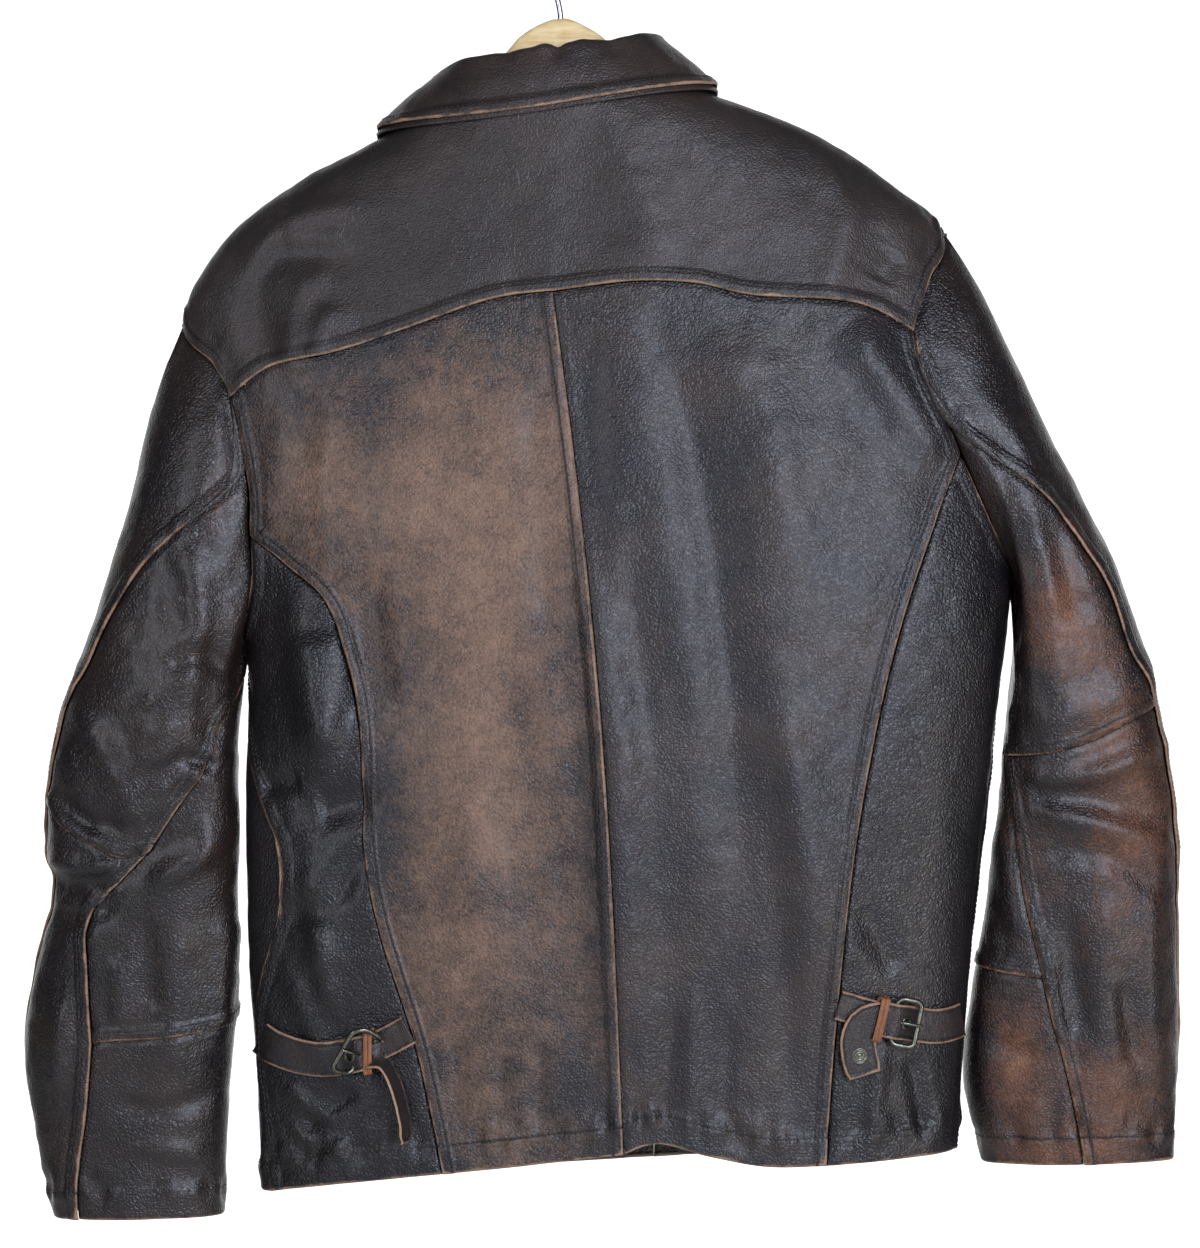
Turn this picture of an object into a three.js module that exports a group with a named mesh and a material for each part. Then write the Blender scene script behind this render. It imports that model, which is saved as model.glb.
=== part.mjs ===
// A worn leather jacket that hangs on a wooden hanger. Millimetres, +Z up.
// The back faces +Y, the front faces -Y, and the wearer's left is +X.
// The origin is the inner crest of the hanger's hook, where a rail carries it.
//
// Each leather piece is a wall on one of two surfaces, the body or a sleeve, or lies on them.
// A place on the body is [turn, level]: turn goes from 0 degrees at the centre back through 90
// at the left side to 180 at the centre front, and -90 is the right side. Level is the height of
// the middle of a ring that slants down to the left, because the whole jacket hangs askew.
// A place on a sleeve is [turn, along]: 90 is its outer line, 0 its back, -90 its inner line and
// -180 its front, and along goes from 0 at the armhole to 1 at the cuff.
import * as THREE from 'three';

// Leather and seams
const leather = 1.5;
const strapLeather = 1.8;
const seamGap = 0.3;
const curvedSeamGap = 0.4;
const armholeStep = 1;
const layGap = 0.4;
const strapRise = 0.9;

// Body rings: level, left edge x, right edge x, slant of the left edge, half depth, roundness
const bodyRings = [
  [-920, 199, -279, 13, 57, 0.74],
  [-800, 203, -289, 17, 62, 0.74],
  [-728, 208, -297, 20, 66, 0.74],
  [-605, 212, -312, 24, 72, 0.76],
  [-494, 211, -321, 27, 74, 0.8],
  [-371, 231, -299, 29.5, 69, 0.88],
  [-251.5, 253, -274, 31.5, 60, 0.95],
  [-210, 226, -241, 20, 57, 1],
  [-174, 172, -192, 14.5, 56, 1],
  [-153, 134, -150, 13, 56, 1],
  [-136, 104, -103, 13.3, 56, 1],
];
const neckLevel = -136;
const frontNeckDip = 72;
const dipStart = -290;

// Seams of the back, as [x, z] seen from behind, each from the hem or the centre outwards
const centreBack = [[-52, -862], [-47, -740], [-40, -610], [-31, -500], [-18, -380], [-3.5, -269.5]];
const yokeSeam = {
  left: [[-3.5, -269.5], [38, -275], [100, -296], [150, -312], [193, -321], [220, -341]],
  right: [[-3.5, -269.5], [-57, -263], [-101, -264], [-141, -272], [-212, -277], [-253, -296]],
};
const princess = {
  left: [
    [72, -876], [90, -790], [115, -710], [126, -650], [130, -560], [150, -487], [180, -458], [206.5, -437],
  ],
  right: [[-192, -871], [-197, -790], [-206, -690], [-220, -600], [-240, -510], [-266, -430], [-284, -381]],
};

const sideSeam = {
  left: [[193, -892], [203, -771], [184, -690], [186, -648], [198, -600], [205, -560], [207, -530]],
  right: [[-280, -864], [-289, -790], [-300, -690], [-312, -590], [-319, -500]],
};
const armhole = {
  left: [
    [253, -283], [234, -315], [220, -341], [208, -400], [206.5, -437], [205, -470], [211, -502], [214, -521],
  ],
  right: [
    [-274, -220], [-266, -256], [-253, -296], [-262, -335], [-284, -381],
    [-305, -425], [-317, -452], [-321, -467],
  ],
};
const hemLine = {
  left: [[-52, -862], [-10, -867], [35, -872], [72, -876], [135, -888], [193, -892]],
  right: [[-52, -862], [-76, -855], [-112, -864], [-150, -871], [-192, -871], [-240, -872], [-280, -864]],
};
const frontHemLevel = -880;
// Degrees past the centre front where the fronts' edges lie, so that the left one overlaps
const frontMeet = 4;

// Armhole stitches are shared by the body and the sleeve: numbered from the shoulder point round the back
const loopCount = 26;
const mark = { yokeBack: 3, princess: 9, underarm: 13, side: 15, underFront: 16, yokeFront: 22 };
const frontScoop = 1.15;
// Where marks fall on the drawn armhole line, as shares of its length in drawn points
const markPlaces = [[0, 0], [mark.yokeBack, 2 / 7], [mark.princess, 4 / 7], [mark.underarm, 1]];

// Sleeve rings: along, outer x, outer z, inner x, inner z, half depth, centre y
const sleeveRings = {
  left: [
    [0, 253, -283, 214, -521, 30, 0],
    [0.12, 273, -340, 216, -545, 39, 0],
    [0.25, 296, -420, 217, -575, 44, -2],
    [0.38, 326, -514, 217, -612, 45, -5],
    [0.5, 349, -592, 217, -652, 43, -9],
    [0.59, 353, -650, 218, -690, 40, -13],
    [0.65, 348, -682, 219, -722, 38, -16],
    [0.75, 361, -738, 221, -765, 37, -20],
    [0.85, 369, -800, 225, -815, 36, -24],
    [0.93, 361, -862, 228, -863, 34, -28],
    [1, 347, -916, 230, -914, 32, -30],
  ],
  right: [
    [0, -274, -220, -321, -467, 30, 0],
    [0.12, -305, -272, -332, -488, 39, 0],
    [0.25, -352, -372, -326, -530, 44, -2],
    [0.38, -401, -468, -321, -570, 45, -5],
    [0.5, -428, -552, -317, -612, 43, -9],
    [0.6, -441, -630, -311, -662, 41, -13],
    [0.7, -441, -700, -304, -712, 39, -17],
    [0.8, -442, -765, -297, -762, 38, -21],
    [0.9, -442, -820, -294, -815, 36, -26],
    [1, -440, -875, -307, -877, 33, -30],
  ],
};
const sleeveRoundness = 0.86;
const blendEnd = 0.3;
const settleShare = 0.3;

// Sleeve seams on the back of each sleeve, as [x, z]
const sleeveSeams = {
  left: {
    top: [[233, -393], [254, -425], [279, -455], [300, -487], [318, -520], [337, -560], [352, -622]],
    elbow: [[352, -622], [338, -640], [316, -652], [297, -661], [277, -657]],
    under: [[227, -579], [238, -602], [257, -628], [277, -657]],
    wrist: [[277, -657], [298, -678], [320, -702], [321, -745], [319, -791]],
    cuff: [[319, -791], [321, -817], [324, -845], [329, -880], [330, -913]],
  },
  right: {
    top: [[-273, -319], [-315, -371], [-356, -425], [-387, -472], [-403, -515], [-424, -555]],
    elbow: [[-424, -555], [-398, -569], [-372, -581], [-345, -588], [-320, -590]],
    under: [[-326, -530], [-323, -560], [-320, -590]],
    wrist: [[-320, -590], [-322, -623], [-330, -681], [-337, -713], [-344, -745]],
    cuff: [[-344, -745], [-351, -776], [-358, -799], [-368, -840], [-374, -873]],
  },
};
const elbowRow = 7;
const wristRow = 11;
const sleeveRows = 15;
const outerForearmTurn = 100;
const frontSeamTurn = -142;

// The largest folds, as soft ridges (lift above 0) and troughs: path [x, z], half width, lift
const bodyFolds = [
  { path: [[-42, -370], [-50, -560], [-64, -820]], reach: 13, lift: 4 },
  { path: [[-24, -420], [-38, -600], [-44, -820]], reach: 12, lift: 4 },
  { path: [[-19, -290], [-36, -411], [-66, -560]], reach: 18, lift: -4 },
  { path: [[-120, -292], [-150, -376], [-165, -480]], reach: 26, lift: 4 },
  { path: [[-148, -551], [-170, -618], [-183, -752]], reach: 26, lift: 5 },
  { path: [[-206, -290], [-240, -335], [-276, -390]], reach: 18, lift: 7 },
  { path: [[152, -323], [139, -425], [133, -470]], reach: 16, lift: 4 },
  { path: [[142, -369], [126, -470], [112, -570]], reach: 15, lift: -5 },
  { path: [[158, -500], [150, -590]], reach: 20, lift: 8 },
  { path: [[120, -618], [160, -628]], reach: 14, lift: -7 },
  { path: [[166, -660], [150, -740]], reach: 18, lift: 5 },
  { path: [[190, -315], [130, -285]], reach: 16, lift: 4 },
];
const sleeveFolds = {
  left: [
    { path: [[228, -500], [236, -545], [228, -590]], reach: 12, lift: -6 },
    { path: [[243, -600], [262, -640], [300, -690]], reach: 16, lift: -6 },
    { path: [[240, -500], [268, -560], [270, -620]], reach: 20, lift: 5 },
    { path: [[350, -680], [300, -680]], reach: 12, lift: -4 },
    { path: [[255, -700], [262, -820]], reach: 18, lift: 4 },
  ],
  right: [
    { path: [[-330, -610], [-380, -618], [-436, -640]], reach: 13, lift: -4 },
    { path: [[-330, -575], [-400, -545], [-430, -520]], reach: 14, lift: 4 },
    { path: [[-390, -680], [-395, -840]], reach: 20, lift: 4 },
    { path: [[-345, -420], [-372, -500]], reach: 18, lift: -4 },
  ],
};

// Collar
const collarEndTurn = 171;
const standHeight = 37;
const foldRadius = 5.6;
const fallEdgeRise = 7.6;
const collarGap = 1.2;
const collarColumns = 20;

// Adjusters: middle line of the strap from the side seam, through the buckle, to the tongue's tip
const strapWidth = 24.5;
const adjusters = {
  left: {
    line: [[196, -786], [186, -791], [172, -795.5], [156, -797.5], [140, -795.5], [127, -792], [116, -788.5],
      [108, -789], [102, -797], [98, -812], [96, -830], [95, -852]],
    heel: [127, -792],
    anchor: [[97, -779], [112, -786.5], [127, -792]],
    tongueStand: 78,
  },
  right: {
    line: [[-279, -774], [-272, -775], [-264, -775.6], [-252, -773.5], [-237, -770.5], [-226, -769],
      [-216, -772], [-211, -783], [-212, -798], [-218, -813]],
    heel: [-237, -770.5],
    anchor: [[-201, -760], [-219, -765], [-237, -770.5]],
    tongueStand: 0,
  },
};
const wireRadius = 1.7;
const frameHeight = 6;
const keeperHeight = 6.4;
const frameReach = 15;
const frameHalf = 16;
const keeperPlace = -11;

// Front buttons
const buttonCount = 5;
const lowestButton = -815;
const buttonStep = 130;
const buttonRadius = 9;
const buttonThick = 3;
const frontOverlap = 2.5;

// Hanger
const domeTop = [-8.4, -74];
const hangerTop = [
  [-44, -93], [-70, -119], [-103, -139], [-150, -157], [-200, -181], [-236, -216],
];
const hangerTopLeft = [[32, -101], [62, -138], [101, -165], [150, -194], [190, -221], [214, -250]];
const hangerBottom = [
  [206, -266], [150, -226], [70, -176], [-6, -140], [-90, -164], [-160, -196], [-226, -236],
];
const hangerThick = 14;
const hookWire = 2;
const hookRadius = 22;

const deg = Math.PI / 180;
const swell = (value, power) => Math.sign(value) * Math.abs(value) ** power;
const clamp = (x, low, high) => Math.min(Math.max(x, low), high);
const ease = (x) => clamp(x, 0, 1) ** 2 * (3 - 2 * clamp(x, 0, 1));
const mix = (a, b, f) => a.slice(0, 2).map((x, k) => x + (b[k] - x) * f);

// Smooth values at a place in a table whose first column is the place.
function follow(rows, at) {
  const rising = rows.at(-1)[0] > rows[0][0];
  let k = 0;
  while (k < rows.length - 2 && (rising ? at > rows[k + 1][0] : at < rows[k + 1][0])) k += 1;
  const [a, b] = [rows[k], rows[k + 1]];
  const [before, after] = [rows[Math.max(k - 1, 0)], rows[Math.min(k + 2, rows.length - 1)]];
  const span = b[0] - a[0];
  const f = (at - a[0]) / span;
  return a.slice(1).map((value, c) => {
    const slopeA = ((b[c + 1] - before[c + 1]) / (b[0] - before[0])) * span;
    const slopeB = ((after[c + 1] - value) / (after[0] - a[0])) * span;
    const step = b[c + 1] - value;
    return value + f * (slopeA + f * (3 * step - 2 * slopeA - slopeB + f * (slopeA + slopeB - 2 * step)));
  });
}

const curve = (points) => new THREE.SplineCurve(points.map(([x, z]) => new THREE.Vector2(x, z)));

// Evenly spaced [x, z] points on a curve, both ends included.
function spaced(points, steps) {
  return curve(points).getSpacedPoints(steps).map((point) => [point.x, point.y]);
}

// Height that the folds give a point: each is a rounded bank along its path.
function foldLift(folds, x, z) {
  let lift = 0;
  for (const fold of folds) {
    let nearest = Infinity;
    for (let k = 0; k < fold.path.length - 1; k += 1) {
      const [[ax, az], [bx, bz]] = [fold.path[k], fold.path[k + 1]];
      const [dx, dz] = [bx - ax, bz - az];
      const f = clamp(((x - ax) * dx + (z - az) * dz) / (dx * dx + dz * dz), 0, 1);
      nearest = Math.min(nearest, Math.hypot(x - ax - f * dx, z - az - f * dz));
    }
    lift += fold.lift * Math.exp(-((nearest / fold.reach) ** 2));
  }
  return lift;
}

function bodyRing(level) {
  const [left, right, slant, depth, roundness] = follow(bodyRings, level);
  return { middle: (left + right) / 2, half: (left - right) / 2, slant, depth, roundness };
}

function plainBody(turn, level) {
  const ring = bodyRing(level);
  const across = swell(Math.sin(turn * deg), ring.roundness);
  const inward = swell(Math.cos(turn * deg), ring.roundness);
  const front = Math.max(0, -Math.cos(turn * deg));
  const dip = frontNeckDip * ease((level - dipStart) / (neckLevel - dipStart)) * front;
  const z = level - ring.slant * across - dip;
  return new THREE.Vector3(ring.middle + ring.half * across, ring.depth * inward, z);
}

// A point of the body's outside with its outward normal. A shared seam brings its own of both.
function onBody([turn, level, shared]) {
  if (shared) return shared;
  const across = plainBody(turn + 0.6, level).sub(plainBody(turn - 0.6, level));
  const up = plainBody(turn, level + 1).sub(plainBody(turn, level - 1));
  const n = up.cross(across).normalize();
  const p = plainBody(turn, level);
  const behind = Math.cos(turn * deg);
  if (behind > 0) p.addScaledVector(n, foldLift(bodyFolds, p.x, p.z) * ease(behind * 3));
  return { p, n };
}

// The place on the back of the body that shows at [x, z].
function bodyPlace([x, z]) {
  let [low, high] = [bodyRings[0][0], bodyRings.at(-1)[0]];
  for (let step = 0; step < 40; step += 1) {
    const level = (low + high) / 2;
    const ring = bodyRing(level);
    if (level - (ring.slant * (x - ring.middle)) / ring.half < z) low = level;
    else high = level;
  }
  const ring = bodyRing(low);
  return [Math.asin(swell(clamp((x - ring.middle) / ring.half, -1, 1), 1 / ring.roundness)) / deg, low];
}

const seam = (points, steps) => spaced(points, steps).map(bodyPlace);

// A net of places between four edges, each edge an array of places.
function net(bottom, top, left, right) {
  const [rows, columns] = [left.length - 1, bottom.length - 1];
  return left.map((_, j) => bottom.map((__, i) => {
    if (i === 0) return left[j];
    if (i === columns) return right[j];
    if (j === 0) return bottom[i];
    if (j === rows) return top[i];
    const [u, v] = [i / columns, j / rows];
    return [0, 1].map((k) => (1 - u) * left[j][k] + u * right[j][k] + (1 - v) * bottom[i][k] + v * top[i][k]
      - (1 - v) * ((1 - u) * bottom[0][k] + u * bottom[columns][k])
      - v * ((1 - u) * top[0][k] + u * top[columns][k]));
  }));
}

// Near the armhole a sleeve's rings crowd together, so an elbow piece starts as a net in space
// between its own edges and settles on the sleeve's surface over the first part of its rows.
function settle(grid) {
  const [rows, columns] = [grid.length - 1, grid[0].length - 1];
  const inside = (j, i) => j > 0 && j < rows && i > 0 && i < columns;
  const points = grid.map((row, j) => row.map(({ p }, i) => {
    if (!inside(j, i)) return p;
    const [u, v] = [i / columns, j / rows];
    const spread = new THREE.Vector3();
    for (const [point, share] of [
      [grid[j][0].p, 1 - u], [grid[j][columns].p, u], [grid[0][i].p, 1 - v], [grid[rows][i].p, v],
      [grid[0][0].p, (u - 1) * (1 - v)], [grid[0][columns].p, -u * (1 - v)],
      [grid[rows][0].p, (u - 1) * v], [grid[rows][columns].p, -u * v],
    ]) spread.addScaledVector(point, share);
    return spread.lerp(p, ease(v / settleShare));
  }));
  return grid.map((row, j) => row.map(({ n }, i) => {
    if (!inside(j, i)) return { p: points[j][i], n };
    const across = points[j][i + 1].clone().sub(points[j][i - 1]);
    const square = across.cross(points[j + 1][i].clone().sub(points[j - 1][i])).normalize();
    return { p: points[j][i], n: square.multiplyScalar(Math.sign(square.dot(n))) };
  }));
}

// The outside faces of the body's pieces, kept so that straps and buttons can lie on them.
const skins = [];

// How far out the pieces reach at [x, z] as they are built, facets and all:
// behind for facing 1, in front for -1.
function skinDepth([x, z], facing) {
  let depth = -Infinity;
  for (const [a, b, c] of skins) {
    const area = (b.x - a.x) * (c.z - a.z) - (c.x - a.x) * (b.z - a.z);
    const u = ((x - a.x) * (c.z - a.z) - (c.x - a.x) * (z - a.z)) / area;
    const v = ((b.x - a.x) * (z - a.z) - (x - a.x) * (b.z - a.z)) / area;
    if (u >= -0.02 && v >= -0.02 && u + v <= 1.02) {
      depth = Math.max(depth, (a.y + u * (b.y - a.y) + v * (c.y - a.y)) * facing);
    }
  }
  return depth;
}

function onSkin([x, z]) {
  const { p, n } = onBody(bodyPlace([x, z]));
  const y = skinDepth([x, z], 1);
  return { p: y > -Infinity ? new THREE.Vector3(x, y, z) : p, n };
}

const line = (from, to, steps) => Array.from({ length: steps + 1 }, (_, k) => mix(from, to, k / steps));

const jacket = new THREE.Group();

// Turns the faces of a closed mesh outwards: its signed volume has to be above zero.
function faceOut(triangles, points) {
  let volume = 0;
  for (let k = 0; k < triangles.length; k += 3) {
    const [a, b, c] = [points[triangles[k]], points[triangles[k + 1]], points[triangles[k + 2]]];
    volume += a.dot(b.clone().cross(c));
  }
  return volume > 0 ? triangles : triangles.reverse();
}

function add(name, geometry, colour, roughness = 0.45, metalness = 0) {
  const material = new THREE.MeshStandardMaterial({ color: colour, roughness, metalness });
  const mesh = new THREE.Mesh(geometry, material);
  mesh.name = name;
  jacket.add(mesh);
  return mesh;
}

function solid(points, triangles) {
  const geometry = new THREE.BufferGeometry();
  const places = points.flatMap((p) => [p.x, p.y, p.z]);
  geometry.setAttribute('position', new THREE.Float32BufferAttribute(places, 3));
  geometry.setIndex(faceOut(triangles, points));
  return geometry;
}

// A wall from a grid of { p, n }: p is the outside, and the inside lies a thickness under it.
// Its four edges draw in by half a seam gap.
function wall(grid, thickness = leather, drawIn = seamGap / 2 + 0.02, keepSkin = false) {
  const [rows, columns] = [grid.length - 1, grid[0].length - 1];
  const at = (j, i) => grid[clamp(j, 0, rows)][clamp(i, 0, columns)].p;
  const outside = [];
  const inside = [];
  for (let j = 0; j <= rows; j += 1) {
    for (let i = 0; i <= columns; i += 1) {
      const { p, n } = grid[j][i];
      const inwards = [];
      const edge = (tangent, towards) => {
        const along = tangent.normalize();
        const into = towards.sub(p);
        inwards.push(into.addScaledVector(along, -into.dot(along)).normalize());
      };
      if (i === 0) edge(at(j + 1, i).clone().sub(at(j - 1, i)), at(j, 1).clone());
      if (i === columns) edge(at(j + 1, i).clone().sub(at(j - 1, i)), at(j, columns - 1).clone());
      if (j === 0) edge(at(j, i + 1).clone().sub(at(j, i - 1)), at(1, i).clone());
      if (j === rows) edge(at(j, i + 1).clone().sub(at(j, i - 1)), at(rows - 1, i).clone());
      const shift = new THREE.Vector3();
      for (const into of inwards) shift.add(into);
      if (inwards.length === 2) shift.divideScalar(Math.max(1 + inwards[0].dot(inwards[1]), 0.35));
      const outer = p.clone().addScaledVector(shift, drawIn);
      outside.push(outer);
      inside.push(outer.clone().addScaledVector(n, -thickness));
    }
  }
  const width = columns + 1;
  const count = outside.length;
  const triangles = [];
  const quad = (a, b, c, d) => triangles.push(a, b, c, a, c, d);
  for (let j = 0; j < rows; j += 1) {
    for (let i = 0; i < columns; i += 1) {
      const a = j * width + i;
      quad(a, a + 1, a + width + 1, a + width);
      quad(count + a, count + a + width, count + a + width + 1, count + a + 1);
    }
  }
  if (keepSkin) {
    for (let k = 0; k < triangles.length; k += 3) {
      if (Math.max(triangles[k], triangles[k + 1], triangles[k + 2]) < count) {
        skins.push([outside[triangles[k]], outside[triangles[k + 1]], outside[triangles[k + 2]]]);
      }
    }
  }
  const rim = [];
  for (let i = 0; i < columns; i += 1) rim.push(i);
  for (let j = 0; j < rows; j += 1) rim.push(j * width + columns);
  for (let i = columns; i > 0; i -= 1) rim.push(rows * width + i);
  for (let j = rows; j > 0; j -= 1) rim.push(j * width);
  rim.forEach((a, k) => {
    const b = rim[(k + 1) % rim.length];
    quad(b, a, a + count, b + count);
  });
  return solid([...outside, ...inside], triangles);
}

// A round wire along points, closed into a loop or with flat ends.
function wire(points, radius, sides = 8, closed = false) {
  const count = points.length;
  const rings = [];
  let across = null;
  points.forEach((point, k) => {
    const next = points[closed ? (k + 1) % count : Math.min(k + 1, count - 1)];
    const before = points[closed ? (k + count - 1) % count : Math.max(k - 1, 0)];
    const tangent = next.clone().sub(before).normalize();
    if (!across) across = new THREE.Vector3(0.3, 1, 0.2);
    across = across.clone().addScaledVector(tangent, -across.dot(tangent)).normalize();
    const up = new THREE.Vector3().crossVectors(tangent, across);
    for (let s = 0; s < sides; s += 1) {
      const turn = (2 * Math.PI * s) / sides;
      const spot = point.clone().addScaledVector(across, radius * Math.cos(turn));
      rings.push(spot.addScaledVector(up, radius * Math.sin(turn)));
    }
  });
  const triangles = [];
  const spans = closed ? count : count - 1;
  for (let k = 0; k < spans; k += 1) {
    for (let s = 0; s < sides; s += 1) {
      const [a, b] = [k * sides + s, k * sides + ((s + 1) % sides)];
      const [c, d] = [((k + 1) % count) * sides + s, ((k + 1) % count) * sides + ((s + 1) % sides)];
      triangles.push(a, b, d, a, d, c);
    }
  }
  if (!closed) {
    for (let s = 1; s < sides - 1; s += 1) {
      const last = (count - 1) * sides;
      triangles.push(0, s + 1, s, last, last + s, last + s + 1);
    }
  }
  return solid(rings, triangles);
}

// ---- Sleeves: the surface needs the armhole first ----
const sides = { left: 1, right: -1 };

function armholePlaces(side) {
  const back = curve(armhole[side]);
  const places = [];
  for (let k = 0; k < loopCount; k += 1) {
    const behind = k <= mark.underarm;
    const mirrored = behind ? k : ((loopCount - k) * mark.underarm) / (loopCount - mark.underarm);
    const next = Math.max(markPlaces.findIndex(([at]) => at >= mirrored), 1);
    const [[k0, place0], [k1, place1]] = [markPlaces[next - 1], markPlaces[next]];
    const point = back.getPoint(place0 + ((place1 - place0) * (mirrored - k0)) / (k1 - k0));
    const [turn, level] = bodyPlace([point.x, point.y]);
    const sign = sides[side];
    const whole = k === 0 || k === mark.underarm;
    if (whole) places.push([sign * 90, level]);
    else places.push([behind ? turn : sign * (90 + frontScoop * (90 - Math.abs(turn))), level]);
  }
  return places;
}

function sleeveRing(side, along) {
  const [ox, oz, ix, iz, depth, y] = follow(sleeveRings[side], along);
  return { middle: [(ox + ix) / 2, (oz + iz) / 2], half: [(ox - ix) / 2, (oz - iz) / 2], depth, y };
}

function plainSleeve(side, turn, along) {
  const ring = sleeveRing(side, along);
  const across = swell(Math.sin(turn * deg), sleeveRoundness);
  return new THREE.Vector3(
    ring.middle[0] + ring.half[0] * across,
    ring.y + ring.depth * swell(Math.cos(turn * deg), sleeveRoundness),
    ring.middle[1] + ring.half[1] * across,
  );
}

// The sleeve's turn at a point of the armhole, and how far the armhole lies off the first ring there.
function makeSleeve(side) {
  const places = armholePlaces(side);
  const ring = sleeveRing(side, 0);
  const size = ring.half[0] ** 2 + ring.half[1] ** 2;
  const loop = places.map((place, k) => {
    const point = onBody(place).p;
    const [dx, dz] = [point.x - ring.middle[0], point.z - ring.middle[1]];
    const share = (dx * ring.half[0] + dz * ring.half[1]) / size;
    const angle = Math.asin(swell(clamp(share, -1, 1), 1 / sleeveRoundness)) / deg;
    const turn = k <= mark.underarm ? angle : -180 - angle;
    return { turn, point, off: point.clone().sub(plainSleeve(side, turn, 0)) };
  });
  loop[0].turn = 90;
  loop[mark.underarm].turn = -90;
  for (const stitch of loop) stitch.off = stitch.point.clone().sub(plainSleeve(side, stitch.turn, 0));
  loop.push({ ...loop[0], turn: -270 });

  const offAt = (turn) => {
    let k = 0;
    while (k < loop.length - 2 && turn < loop[k + 1].turn) k += 1;
    const f = clamp((turn - loop[k].turn) / (loop[k + 1].turn - loop[k].turn), 0, 1);
    return loop[k].off.clone().lerp(loop[k + 1].off, f);
  };
  const base = (turn, along) => plainSleeve(side, turn, along)
    .addScaledVector(offAt(turn), 1 - ease(along / blendEnd));
  const normal = (turn, along) => {
    const across = base(turn + 1, along).sub(base(turn - 1, along));
    const down = base(turn, along + 0.01).sub(base(turn, Math.max(along - 0.01, 0)));
    return across.cross(down).normalize().multiplyScalar(sides[side]);
  };
  const at = ([turn, along, shared]) => {
    if (shared) return shared;
    const n = normal(turn, along);
    const p = base(turn, along);
    const back = Math.cos(turn * deg);
    const fade = ease(back * 3) * ease(along * 6);
    if (back > 0) p.addScaledVector(n, foldLift(sleeveFolds[side], p.x, p.z) * fade);
    return { p, n };
  };
  const place = ([x, z]) => {
    let [low, high] = [0, 1];
    for (let step = 0; step < 40; step += 1) {
      const along = (low + high) / 2;
      const { middle, half } = sleeveRing(side, along);
      const beyond = (half[0] * (z - middle[1]) - half[1] * (x - middle[0])) * sides[side];
      if (beyond < 0) low = along;
      else high = along;
    }
    const { middle, half } = sleeveRing(side, low);
    const share = ((x - middle[0]) * half[0] + (z - middle[1]) * half[1]) / (half[0] ** 2 + half[1] ** 2);
    return [Math.asin(swell(clamp(share, -1, 1), 1 / sleeveRoundness)) / deg, low];
  };

  // The stitches of the armhole: the sleeve starts just outside the body's edge, mitred with it.
  const stitches = places.map((body, k) => {
    const { p, n } = onBody(body);
    const start = p.clone().add(new THREE.Vector3(sides[side] * armholeStep, 0, 0));
    const mitre = n.clone().add(normal(loop[k].turn, 0)).normalize();
    return { body, sleeve: [loop[k].turn, 0, { p: start, n: mitre }] };
  });
  return { stitches, at, place };
}

const sleeves = { left: makeSleeve('left'), right: makeSleeve('right') };

// Stitches from one mark to another, round the back or on past the front.
function stitchRun(side, from, to, of) {
  const step = Math.sign(to - from);
  const run = [];
  for (let k = from; k !== to + step; k += step) {
    const place = [...sleeves[side].stitches[((k % loopCount) + loopCount) % loopCount][of]];
    if (of === 'sleeve' && k >= loopCount) place[0] -= 360;
    run.push(place);
  }
  return run;
}

// ---- Body pieces ----
const sideRows = 9;
const backColumns = 8;
const centreSeam = seam(centreBack, sideRows + mark.princess - mark.yokeBack);
const neckBack = 66;
const neckFront = 118;
const colours = { yoke: '#463d38', back: '#5b4435', dark: '#2e2b2c', sleeve: '#3b2a23', collar: '#3d3531' };
const corners = {};

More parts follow.
